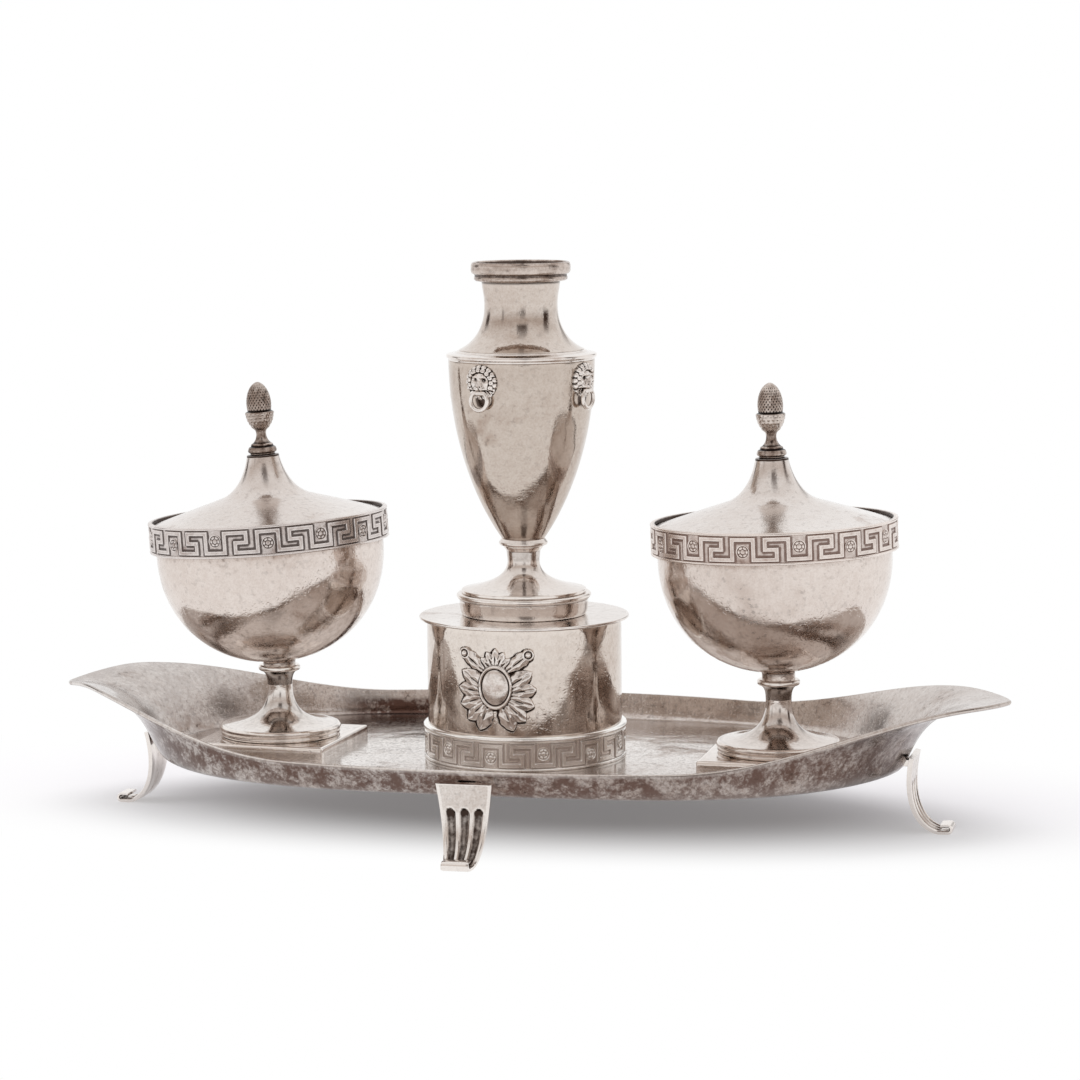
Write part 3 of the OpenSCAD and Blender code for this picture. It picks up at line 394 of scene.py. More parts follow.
def make_shade_and_wear():
    """Hollows darkened as deposit and painted shade, and edges rubbed bright and lightened as a painted
    highlight.
    """
    tree, s, given, out = group(
        "Hollows and edges", [("Hollow Depth", "Float", 1.0), ("Rub", "Float", 1.0)],
        [("Hollow", "Float"), ("Edge", "Float")])
    rough = s.noise(s.place(), 500.0, 3.0, 0.6)
    for title, share, low, high in (("Hollow", "Hollow Depth", 0.08, 0.6), ("Edge", "Rub", 0.12, 0.7)):
        mark = s.node("ShaderNodeAttribute", attribute_name=title.lower()).outputs["Fac"]
        shifted = s.math("MULTIPLY", mark, s.span(rough, 0.25, 0.7, 0.7, 1.2))
        s.join(s.math("MULTIPLY", s.span(shifted, low, high), given[share], clamp=True), out[title])
    return tree


def make_surface():
    """The surface of hand-worked sheet: slow waves of the hammer, fine scratches and pits."""
    tree, s, given, out = group(
        "Worked surface",
        [("Waves", "Float", 1.0), ("Scratches", "Float", 1.0), ("Pits", "Float", 1.0)],
        [("Normal", "Vector"), ("Scratch", "Float")])
    where = s.place()
    wave = s.noise(where, 42.0, 2.0, 0.45, 0.3)
    ripple = s.noise(where, 130.0, 2.0, 0.5)
    scratch_a = s.noise(s.place((1, 1, 22)), 130.0, 2.0, 0.7)
    scratch_b = s.noise(s.place((20, 3, 1)), 90.0, 2.0, 0.7)
    pit = s.span(s.noise(where, 900.0, 2.0, 0.5), 0.3, 0.45)
    normal = None
    for height, share, deep in ((wave, "Waves", 0.00055), (ripple, "Waves", 0.00005),
                                (scratch_a, "Scratches", 0.000014), (scratch_b, "Scratches", 0.00001),
                                (pit, "Pits", 0.00002)):
        bump = s.node("ShaderNodeBump")
        bump.inputs["Strength"].default_value = 1.0
        s.join(s.math("MULTIPLY", given[share], deep), bump.inputs["Distance"])
        s.join(height, bump.inputs["Height"])
        if normal is not None:
            s.join(normal, bump.inputs["Normal"])
        normal = bump.outputs["Normal"]
    s.join(normal, out["Normal"])
    s.join(s.math("MULTIPLY", scratch_a, scratch_b), out["Scratch"])
    return tree


tarnish_group, shade_and_wear_group, surface_group = make_tarnish(), make_shade_and_wear(), make_surface()


# Brown of the tray's outside and back wall: tarnish with painted shade, and a painted reflection
BROWN_TARNISH_AND_SHADE = (0.105, 0.058, 0.045)


def silver(name, clean, warm, dark, patch=0.03, cover=0.45, spots=0.6, hollow=1.0, rub_and_highlight=0.6,
           shine=0.14, dull=0.32, waves=1.0, scratches=1.0, pits=0.6, cloud=0.35, grain=0.25,
           outside=0.0):
    """One finish of the silver: clean metal, its warm haze and its dark deposit, which in hollows also
    stands for painted shade. patch is the size of its clouds in metres, shine and dull its least and
    greatest roughness."""
    made = bpy.data.materials.new(name)
    made.use_nodes = True
    made.node_tree.nodes.clear()
    s = Sheet(made.node_tree)
    tarnish = s.node("ShaderNodeGroup", node_tree=tarnish_group)
    for title, value in (("Patch Size", patch), ("Cover", cover), ("Spots", spots)):
        tarnish.inputs[title].default_value = value
    shade_and_wear = s.node("ShaderNodeGroup", node_tree=shade_and_wear_group)
    shade_and_wear.inputs["Hollow Depth"].default_value = hollow
    shade_and_wear.inputs["Rub"].default_value = rub_and_highlight
    surface = s.node("ShaderNodeGroup", node_tree=surface_group)
    for title, value in (("Waves", waves), ("Scratches", scratches), ("Pits", pits)):
        surface.inputs[title].default_value = value
    haze = s.math("MULTIPLY", tarnish.outputs["Cloud"], cloud)
    haze = s.math("ADD", haze, s.math("MULTIPLY", tarnish.outputs["Grain"], grain), clamp=True)
    colour = s.blend(haze, (*clean, 1), (*warm, 1))
    colour = s.blend(s.math("MULTIPLY", tarnish.outputs["Patches"], 0.85), colour, (*warm, 1))
    if outside:
        # Where the outside mark is set: marbled, speckled brown, tarnish deepened as painted shade on the
        # tray's outside wall and as a painted reflection on its back wall
        side = s.node("ShaderNodeAttribute", attribute_name="outside").outputs["Fac"]
        marble = s.math("ADD", s.math("MULTIPLY", s.noise(s.place(), 110.0, 4.0, 0.6, 0.8), 0.5),
                        s.math("MULTIPLY", s.noise(s.place(), 640.0, 4.0, 0.75, 0.3), 0.5))
        marble = s.span(marble, 0.38, 0.56, 0.42, 1.0)
        brown = s.math("MULTIPLY", s.math("MULTIPLY", side, marble), outside)
        colour = s.blend(brown, colour, (*BROWN_TARNISH_AND_SHADE, 1))
    colour = s.blend(tarnish.outputs["Spots"], colour, (*dark, 1))
    # Hollows take the dark colour: deposit and painted shade in the recesses
    colour = s.blend(shade_and_wear.outputs["Hollow"], colour, (*dark, 1))
    # Edges rubbed bright, lifted above the clean colour as a painted highlight
    colour = s.blend(s.math("MULTIPLY", shade_and_wear.outputs["Edge"], 0.7), colour,
                     (*[min(1, c * 1.12) for c in clean], 1))
    dulled = s.math("ADD", s.math("MULTIPLY", tarnish.outputs["Patches"], 0.55),
                    s.math("MULTIPLY", haze, 0.4))
    dulled = s.math("ADD", dulled, s.math("MULTIPLY", tarnish.outputs["Spots"], 0.6))
    dulled = s.math("ADD", dulled, s.math("MULTIPLY", shade_and_wear.outputs["Hollow"], 0.9), clamp=True)
    rough = s.span(dulled, 0.0, 1.0, shine, dull, soft=False)
    rough = s.math("ADD", rough, s.math("MULTIPLY", surface.outputs["Scratch"], 0.05 * scratches))
    skin = s.node("ShaderNodeBsdfPrincipled")
    skin.inputs["Metallic"].default_value = 1.0
    s.join(colour, skin.inputs["Base Color"])
    s.join(rough, skin.inputs["Roughness"])
    s.join(surface.outputs["Normal"], skin.inputs["Normal"])
    s.join(skin.outputs[0], s.node("ShaderNodeOutputMaterial").inputs["Surface"])
    return made


HAZE = (0.46, 0.345, 0.285)
# The dark of tarnish spots, also used in hollows as painted shade
DEPOSIT_AND_SHADE = (0.055, 0.034, 0.026)

polished = silver("Polished silver", (0.82, 0.77, 0.73), HAZE, DEPOSIT_AND_SHADE,
    cover=0.3, spots=0.4, hollow=0.5, shine=0.05, dull=0.24, grain=0.15)
lid_silver = silver("Lid silver", (0.84, 0.80, 0.77), (0.50, 0.40, 0.345), DEPOSIT_AND_SHADE,
    patch=0.022, cover=0.36, spots=0.55, shine=0.12, dull=0.34, grain=0.2)
bowl_silver = silver("Bowl silver", (0.76, 0.69, 0.645), (0.36, 0.255, 0.20), DEPOSIT_AND_SHADE,
    patch=0.045, cover=0.5, spots=0.85, shine=0.05, dull=0.3, waves=1.3, pits=1.2, cloud=0.4, grain=0.34)
lip_silver = silver("Lip silver", (0.70, 0.62, 0.565), (0.25, 0.17, 0.13), DEPOSIT_AND_SHADE,
    patch=0.012, cover=0.56, spots=0.9, hollow=0.9, shine=0.08, dull=0.34, cloud=0.4, grain=0.5)
vase_silver = silver("Vase silver", (0.60, 0.525, 0.465), (0.33, 0.235, 0.18), DEPOSIT_AND_SHADE,
    patch=0.04, cover=0.44, spots=0.45, shine=0.05, dull=0.24, waves=1.1, cloud=0.45, grain=0.3)
box_silver = silver("Box silver", (0.74, 0.675, 0.62), (0.38, 0.275, 0.215), DEPOSIT_AND_SHADE,
    patch=0.036, cover=0.44, spots=0.5, shine=0.045, dull=0.2, waves=0.9, scratches=0.4, cloud=0.4,
    grain=0.26)
tray_silver = silver("Tray silver", (0.78, 0.74, 0.71), (0.32, 0.225, 0.175), (0.045, 0.027, 0.02),
    patch=0.026, cover=0.4, spots=0.8, hollow=0.0, rub_and_highlight=0.2, shine=0.08, dull=0.4, waves=1.2,
    scratches=1.6, pits=1.4, cloud=0.34, grain=0.3, outside=0.95)
relief_silver = silver("Chased silver", (0.82, 0.77, 0.73), (0.42, 0.32, 0.27), (0.03, 0.018, 0.013),
    patch=0.012, cover=0.4, spots=0.4, rub_and_highlight=1.0, shine=0.13, dull=0.4, waves=0.3)
strap_silver = silver("Strap silver", (0.80, 0.755, 0.72), (0.42, 0.33, 0.275), (0.05, 0.033, 0.026),
    patch=0.014, cover=0.4, rub_and_highlight=1.0, shine=0.12, dull=0.36, waves=0.5, grain=0.34)
ink_key_silver = silver("Ink key silver", (0.74, 0.69, 0.665), (0.36, 0.285, 0.255), (0.06, 0.042, 0.038),
    patch=0.01, cover=0.5, spots=0.5, hollow=0.85, rub_and_highlight=1.0, shine=0.18, dull=0.42, waves=0.3, grain=0.42)
sand_key_silver = silver("Sand key silver", (0.80, 0.73, 0.685), (0.42, 0.30, 0.25), (0.17, 0.10, 0.08),
    patch=0.012, cover=0.46, spots=0.4, hollow=0.85, rub_and_highlight=1.0, shine=0.2, dull=0.42, waves=0.3, grain=0.42)
box_key_silver = silver("Box key silver", (0.92, 0.89, 0.865), (0.64, 0.55, 0.49), (0.42, 0.34, 0.30),
    patch=0.012, cover=0.36, spots=0.3, hollow=0.6, rub_and_highlight=0.8, shine=0.16, dull=0.36, waves=0.3, grain=0.26)
nut_silver = silver("Stippled silver", (0.72, 0.64, 0.585), (0.21, 0.145, 0.112), (0.018, 0.011, 0.009),
    patch=0.007, cover=0.62, spots=0.8, rub_and_highlight=0.7, shine=0.06, dull=0.3, waves=0.2, grain=0.5)
inner_metal = silver("Unpolished silver", (0.62, 0.57, 0.53), (0.34, 0.27, 0.23), DEPOSIT_AND_SHADE,
    patch=0.015, cover=0.6, spots=0.6, shine=0.3, dull=0.5)


def make_glass():
    """Clear pressed glass, with slight ripples and its natural green tint."""
    made = bpy.data.materials.new("Liner glass")
    made.use_nodes = True
    s = Sheet(made.node_tree)
    skin = made.node_tree.nodes["Principled BSDF"]
    skin.inputs["Transmission Weight"].default_value = 1.0
    skin.inputs["IOR"].default_value = 1.5
    where = s.place()
    tint = s.blend(s.noise(where, 60.0, 2.0), (0.93, 0.985, 0.965, 1), (0.97, 1.0, 0.99, 1))
    s.join(tint, skin.inputs["Base Color"])
    s.join(s.span(s.noise(where, 240.0, 3.0), 0.3, 0.8, 0.01, 0.06), skin.inputs["Roughness"])
    bump = s.node("ShaderNodeBump")
    bump.inputs["Distance"].default_value = 0.0002
    s.join(s.noise(where, 70.0, 2.0), bump.inputs["Height"])
    s.join(bump.outputs["Normal"], skin.inputs["Normal"])
    return made


glass = make_glass()


# The tray -----------------------------------------------------------------------------

def bend(a, b, t):
    return a + (b - a) * t


def rim_point(a):
    c, s = math.cos(a), math.sin(a)
    return np.array([TRAY_HALF * c, math.copysign(TRAY_W / 2 * max(0, 1 - abs(c) ** 2.3) ** 0.75, s)])


def floor_point(a):
    c, s = math.cos(a), math.sin(a)
    along = abs(c) - FLOOR_PULL * abs(c) ** 4.5
    wide = FLOOR_HALF_W * max(0, 1 - (TRAY_HALF * along / FLOOR_HALF) ** 3.4) ** 0.6
    return np.array([math.copysign(TRAY_HALF * along, c), math.copysign(wide, s)])


def rim_height(a):
    tip = TRAY_HALF - abs(TRAY_HALF * math.cos(a))
    climb = smooth(np.clip((PROW_RISE - tip) / (PROW_RISE - 10), 0, 1) ** 1.15)
    droop = (LEFT_DROOP if math.cos(a) < 0 else RIGHT_DROOP) * np.clip(1 - tip / 18, 0, 1) ** 2
    return SHEET + bend(TRAY_SIDE_H, TRAY_END_H, climb) - droop


def wall_section(a):
    reach, h, e = np.linalg.norm(rim_point(a) - floor_point(a)), rim_height(a), abs(math.cos(a)) ** 3
    return [[-3, 0], [bend(1.2, 2.5, e), 0], [bend(0.35, 0, e) * reach, bend(0.45, 1.095, e) * h],
            [reach, h]]


def wall_reach(a, h):
    line = curve(wall_section(a), 8)
    return np.linalg.norm(floor_point(a)) + np.interp(h, line[:, 1], line[:, 0])


def make_tray():
    stations, up = 400, 16
    rings = []
    for i in range(stations):
        a = 2 * math.pi * (i + 0.5) / stations
        p, t = wall_section(a), np.linspace(0, 1, up + 1)[:, None]
        outside, left = curve(p, up), curve_left(p, up)
        inside = outside + (SHEET + (RIM_T - SHEET) * t ** 6) * left
        run = np.array([left[-1][1], -left[-1][0]])
        lip = [outside[-1] + out * run + up_by * RIM_T * left[-1]
               for out, up_by in ((0.28, 0.22), (0.38, 0.5), (0.28, 0.78))]
        section = joined(outside, lip, inside[::-1])
        f, r = floor_point(a), rim_point(a)
        out = (r - f) / np.linalg.norm(r - f)
        wall = np.column_stack([f[0] + out[0] * section[:, 0], f[1] + out[1] * section[:, 0],
                                FLOOR_Z - SHEET + section[:, 1]])
        shrink = np.linspace(1, 0.02, 26)[1:, None]
        top, under = wall[-1] * [1, 1, 0], wall[0] * [1, 1, 0]
        rings.append(np.vstack([(under * shrink)[::-1] + [0, 0, FLOOR_Z - SHEET], wall,
                                top * shrink + [0, 0, FLOOR_Z]]))
    k = len(rings[0])
    faces = grid_faces(stations, k, round_rows=True)
    faces.append([i * k for i in range(stations)])
    faces.append([i * k + k - 1 for i in reversed(range(stations))])
    tray = piece("silver_tray", np.vstack(rings), faces, "stand", tray_silver, ["tray"], crease=50,
                 passes=3)
    # Brown outside, tarnish with painted shade, a little in the prows, and deep brown on the back wall
    # beside the box, a painted reflection of the box
    brown = np.zeros((stations, k))
    brown[:, :25 + up + 1] = 1
    for i in range(stations):
        x, y = rim_point(2 * math.pi * (i + 0.5) / stations)
        t = np.linspace(1, 0, up + 1)
        # The back wall's deep brown is a painted reflection of the box beside it
        deep = 1.4 * smooth((x + 92) / 26) * smooth((-24 - x) / 10) * (y > 0) * smooth((0.82 - t) / 0.2)
        brown[i, 28 + up:29 + 2 * up] = np.maximum((0.42 if x < 0 else 0.2) * smooth((abs(x) - 80) / 50),
                                                   deep)
    marks = tray.data.attributes.new("outside", "FLOAT", "POINT")
    marks.data.foreach_set("value", brown.ravel().astype(np.float32))
    return tray


# The strap feet -----------------------------------------------------------------------

def make_foot(name, node, turn, off=0.0):
    """A strap from a pad on the wall down to a curled toe, with three flutes in its face.
    turn says which side of the tray it stands on, and off how far it is shifted along it."""
    legs, across = 64, 48
    toe_z, toe_r, sole = 0.375 * STRAP_T - 0.15, 1.1, 0.75 * STRAP_T
    pad_z, wall_turn = FLOOR_Z + PAD_UP, math.radians(turn)
    leg = curve([[0, pad_z], [-2.2, 0.6 * pad_z], [-1, 0.12 * pad_z], [FOOT_SPREAD, toe_z]], legs)
    curl = [[FOOT_SPREAD + TOE_LEN + toe_r * math.cos(b), toe_z + toe_r + toe_r * math.sin(b)]
            for b in np.radians(np.arange(-90, 91, 15))]
    flat = [[FOOT_SPREAD + TOE_LEN * t, toe_z] for t in (0.33, 0.67)]
    line = joined(leg, flat, curl, [[FOOT_SPREAD + 0.6, toe_z + 2 * toe_r - 0.15]])
    n, rings = len(line), []
    went = np.concatenate([[0], np.cumsum(np.linalg.norm(np.diff(line, axis=0), axis=1))])
    # The flutes run from start to stop along the strap; pitch and half width are shares of its width
    start, stop = went[legs] * 4.7 / 14, went[legs] - 0.6
    flute_pitch, flute_half = 0.29, 0.105
    for i in range(n):
        run = line[min(i + 1, n - 1)] - line[max(i - 1, 0)]
        side = np.array([-run[1], run[0]]) / np.linalg.norm(run)
        f, g = min(1, i / legs), max(0, (i - legs) / (n - legs))
        w = bend(FOOT_TOP_W, FOOT_ANKLE_W, f)
        if i > legs:
            w = bend(FOOT_ANKLE_W - 0.6, FOOT_ANKLE_W - 1.6, g)
        w = w if i <= legs - 3 or i > legs + 2 else bend(w, FOOT_ANKLE_W - 0.4, 0.5)
        t = bend(STRAP_T, sole, f ** 3) if i <= legs else bend(sole, 0.65 * sole, g)
        face = []
        for u in np.linspace(-0.5, 0.5, across):
            groove = 0.0
            for k in (-1, 0, 1):
                beside = abs(u - flute_pitch * k) * w / (flute_half * w)
                past = max(start - went[i], went[i] - stop, 0) / (flute_half * w)
                reach = math.hypot(beside, past)
                if reach < 1:
                    groove = max(groove, math.sqrt(1 - reach ** 2))
            lip = 0.25 * smooth((abs(u) - 0.46) / 0.04)
            face.append((u * w, t / 2 - 1.15 * FLUTE_DEPTH * groove - lip))
        back = [(u * w, -t / 2 + 0.2 * smooth((abs(u) - 0.46) / 0.04)) for u in np.linspace(0.5, -0.5, 14)]
        ring = [(line[i][0] + side[0] * q[1], q[0], line[i][1] + side[1] * q[1]) for q in face + back]
        rings.append(np.array(ring))
    k = len(rings[0])
    points = np.vstack(rings)
    points[:, 2] = np.maximum(points[:, 2], 0)
    pad_h = pad_z - FLOOR_Z + SHEET
    x_in = wall_reach(wall_turn, pad_h) + PAD_GAP + STRAP_T / 2
    points[:, 0] += x_in
    faces = grid_faces(n, k, round_cols=True)
    faces += [list(range(k))[::-1], [(n - 1) * k + j for j in range(k)]]
    # The lug that carries the strap on the wall
    low, high = 1.6, pad_h - 1.4
    lug = [(wall_reach(wall_turn, low) - 0.3, low), (x_in - 0.5, low), (x_in - 0.4, high),
           (wall_reach(wall_turn, high) - 0.3, high)]
    base = len(points)
    mid = np.mean(lug, axis=0)
    for y, inset in ((-3.0, 0.25), (-2.75, 0), (2.75, 0), (3.0, 0.25)):
        eased = [np.array(q) + (mid - q) / np.linalg.norm(mid - q) * inset for q in lug]
        points = np.vstack([points, [[q[0], y, FLOOR_Z - SHEET + q[1]] for q in eased]])
    faces += grid_faces(4, 4, base, round_cols=True)
    faces += [[base + 3, base + 2, base + 1, base], [base + 12 + j for j in range(4)]]
    place = Matrix.Rotation(math.radians(turn), 4, "Z") @ Matrix.Translation((0, -off * MM, 0))
    return piece(name, points, faces, "stand", strap_silver, [node], place, reach=0.25, passes=14)


def make_slab(name, node, x, turn):
    """A square plinth of sheet with its upper edge cut back and its corners eased."""
    half, ease, around = PLINTH_W / 2, 0.4, []
    corners = (half - ease) * np.array([(1, 1), (-1, 1), (-1, -1), (1, -1)])
    for k, centre in enumerate(corners):
        for t in np.linspace(0, 90, 5):
            a = math.radians(90 * k + t)
            around.append(centre + ease * np.array([math.cos(a), math.sin(a)]))
        end, way = around[-1], corners[(k + 1) % 4] - centre
        around += [end + way * t for t in np.linspace(0, 1, 22)[1:-1]]
    around = np.array(around)
    # Each row is (how much of the square it keeps, height)
    rows = [(1, 0), (1, 0.3), (1, 1.6), (1, PLINTH_H - 0.55), (1 - 0.1 / half, PLINTH_H - 0.4),
            (1 - 0.42 / half, PLINTH_H - 0.06), (1 - 0.6 / half, PLINTH_H)]
    rows += [(s, PLINTH_H) for s in np.linspace(0.95, 0.1, 16)]
    points = np.vstack([np.column_stack([around * s, np.full(len(around), z)]) for s, z in rows])
    k = len(around)
    faces = grid_faces(len(rows), k, round_cols=True)
    faces += [list(range(k))[::-1], [(len(rows) - 1) * k + j for j in range(k)]]
    return piece(name, points, faces, "stand", polished, [node], lifted(x, FLOOR_Z, turn))


# The vessels --------------------------------------------------------------------------

def key_rectangles(pitch, h):
    """The straight strips of two boxes of the key with their hooks, the second upturned:
    [middle along, middle up, half length, half height] on the unrolled band."""
    side, step = KEY_BOX / 2, (pitch - KEY_BOX) / 3
    unit = [(-side, h), (-side, -h), (side, -h), (side, h), (side + 2 * step, h),
            (side + 2 * step, 0), (side + step, 0), (side + step, -h)]
    line = [(u, v) for u, v in unit] + [(u + pitch, -v) for u, v in unit] + [(2 * pitch - side, h)]
    out = []
    for (u1, v1), (u2, v2) in zip(line, line[1:]):
        out.append(((u1 + u2) / 2, (v1 + v2) / 2, abs(u2 - u1) / 2 + KEY_W / 2,
                    abs(v2 - v1) / 2 + KEY_W / 2))
    return out


def filled(stops, widest):
    """The stops in order, with more between them where they are further apart than widest."""
    stops = sorted(set(round(s, 4) for s in stops))
    out = [stops[0]]
    for a, b in zip(stops, stops[1:]):
        n = max(1, math.ceil((b - a) / widest))
        out += [a + (b - a) * k / n for k in range(1, n + 1)]
    return np.array(out)


def key_band(name, node, face_r, low, high, outline, turn, body, metal, soil_and_shade, place=None):
    """A band with a Greek key standing out from its face between low and high: a fret of
    straight strips with a fine line along each edge, and a rosette in every box.
    Its ground is darkened by the given share, as deposit and painted shade between the strips, and
    outline is the rest of the band's section, from the top of the face round to its foot."""
    count = 2 * round(math.pi * face_r / KEY_PITCH)
    pitch = 2 * math.pi * face_r / count
    mid, h = (low + high) / 2, (high - low - KEY_W) / 2
    strips = key_rectangles(pitch, h)
    strips += [(u + s * 2 * pitch, v, a, b) for u, v, a, b in strips for s in (-1, 1)]
    # Rows and columns of points close to every strip's edges, and no further apart than widest
    edge, widest, margin = 0.09, 0.7, 0.35
    us = [0, 2 * pitch]
    vs = [low - 0.3 - mid, high + 0.3 - mid]
    for u, v, a, b in strips:
        for off in (-3 * edge, -edge, edge, 3 * edge):
            us += [w for w in (u - a + off, u + a + off) if 0 < w < 2 * pitch]
            vs += [v - b + off, v + b + off]
    us = filled(us, widest)[:-1]
    vs = filled([v for v in vs if low - margin - mid <= v <= high + margin - mid], widest)
    inside = np.max([np.minimum(a - np.abs(us[:, None] - u), b - np.abs(vs[None, :] - v))
                     for u, v, a, b in strips], axis=0)
    rise = KEY_RAISE * smooth((inside + edge) / (2 * edge))
    rise -= 0.1 * smooth(1 - np.abs(inside + 2.2 * edge) / (1.6 * edge))
    # The ground between the strips is darkened: deposit and painted shade
    ground = soil_and_shade * (1 - smooth((inside + edge) / (2 * edge)))
    angle = np.concatenate([(us + i * 2 * pitch) / face_r for i in range(count // 2)]) + math.radians(turn)
    face = np.tile(rise, (count // 2, 1)) + face_r
    radius = np.column_stack([face, np.tile(outline[:, 0], (len(angle), 1))])
    height = np.tile(np.concatenate([vs + mid, outline[:, 1]]), (len(angle), 1))
    points = np.stack([radius * np.cos(angle)[:, None], radius * np.sin(angle)[:, None], height],
                      -1).reshape(-1, 3)
    painted_shade_and_grime = np.column_stack([np.tile(ground, (count // 2, 1)),
                             np.zeros((len(angle), len(outline)))]).ravel()
    faces = grid_faces(len(angle), radius.shape[1], round_rows=True, round_cols=True)
    for i in range(count):
        a = math.radians(turn) + 2 * math.pi * i / count
        z = mid + (1 if i % 2 == 0 else -1) * KEY_W / 2
        base, (more, dark) = len(points), rosette(face_r, a, z)
        points, painted_shade_and_grime = np.vstack([points, more]), np.concatenate([painted_shade_and_grime, dark])
        rings = len(ROSETTE_RINGS)
        faces += grid_faces(rings, ROSETTE_SPOKES, base, round_cols=True)
        faces.append([base + (rings - 1) * ROSETTE_SPOKES + j for j in range(ROSETTE_SPOKES)])
    return piece(name, points, faces, body, metal, [node], place, crease=60, reach=0.07, passes=4,
                 painted_shade_and_grime=painted_shade_and_grime)


# How far from its middle each ring of a rosette lies, as a share of its size
ROSETTE_RINGS = (1, 0.97, 0.9, 0.84, 0.8, 0.74, 0.66, 0.56, 0.46, 0.37, 0.32, 0.24, 0.14, 0.03)
ROSETTE_SPOKES = 40


def rosette(face_r, angle, z, size=2.2):
    """A ringed six-petalled flower on the band, from its edge to its middle, and its dark places, deposit
    and painted shade low between the petals and in the groove round it.
    """
    rows, dark = [], []
    for rho in ROSETTE_RINGS:
        t = np.linspace(0, 2 * math.pi, ROSETTE_SPOKES, endpoint=False)
        petal = np.abs(np.cos(3 * t)) ** 0.7
        if rho > 0.83:
            up = np.full(ROSETTE_SPOKES, -0.15 if rho == 1 else 0.3 - 0.1 * (rho < 0.87))
        elif rho > 0.34:
            up = 0.04 + 0.34 * math.sin((0.8 - min(rho, 0.8)) / 0.46 * math.pi) * petal
        else:
            up = np.full(ROSETTE_SPOKES, 0.12 + 0.26 * math.sqrt(max(0, 1 - (rho / 0.34) ** 2)))
        r = face_r + up
        along, high = size * rho * np.cos(t), size * rho * np.sin(t)
        rows.append(np.column_stack([r * np.cos(angle + along / face_r), r * np.sin(angle + along / face_r),
                                     z + high]))
        # Low places between the petals and the groove round the edge are darkened: deposit and painted
        # shade
        dark.append(np.clip(0.75 - 2.6 * np.abs(up), 0, 1) if 0.34 < rho < 0.83
                    else np.full(ROSETTE_SPOKES, 0.9 * (rho == 1)))
    return np.vstack(rows), np.concatenate(dark)


def cup(r, depth, top, n):
    a = np.linspace(0, math.pi / 2, n + 1)
    return np.column_stack([r * np.cos(a) ** 0.95, top - depth * np.sin(a) ** 0.95])


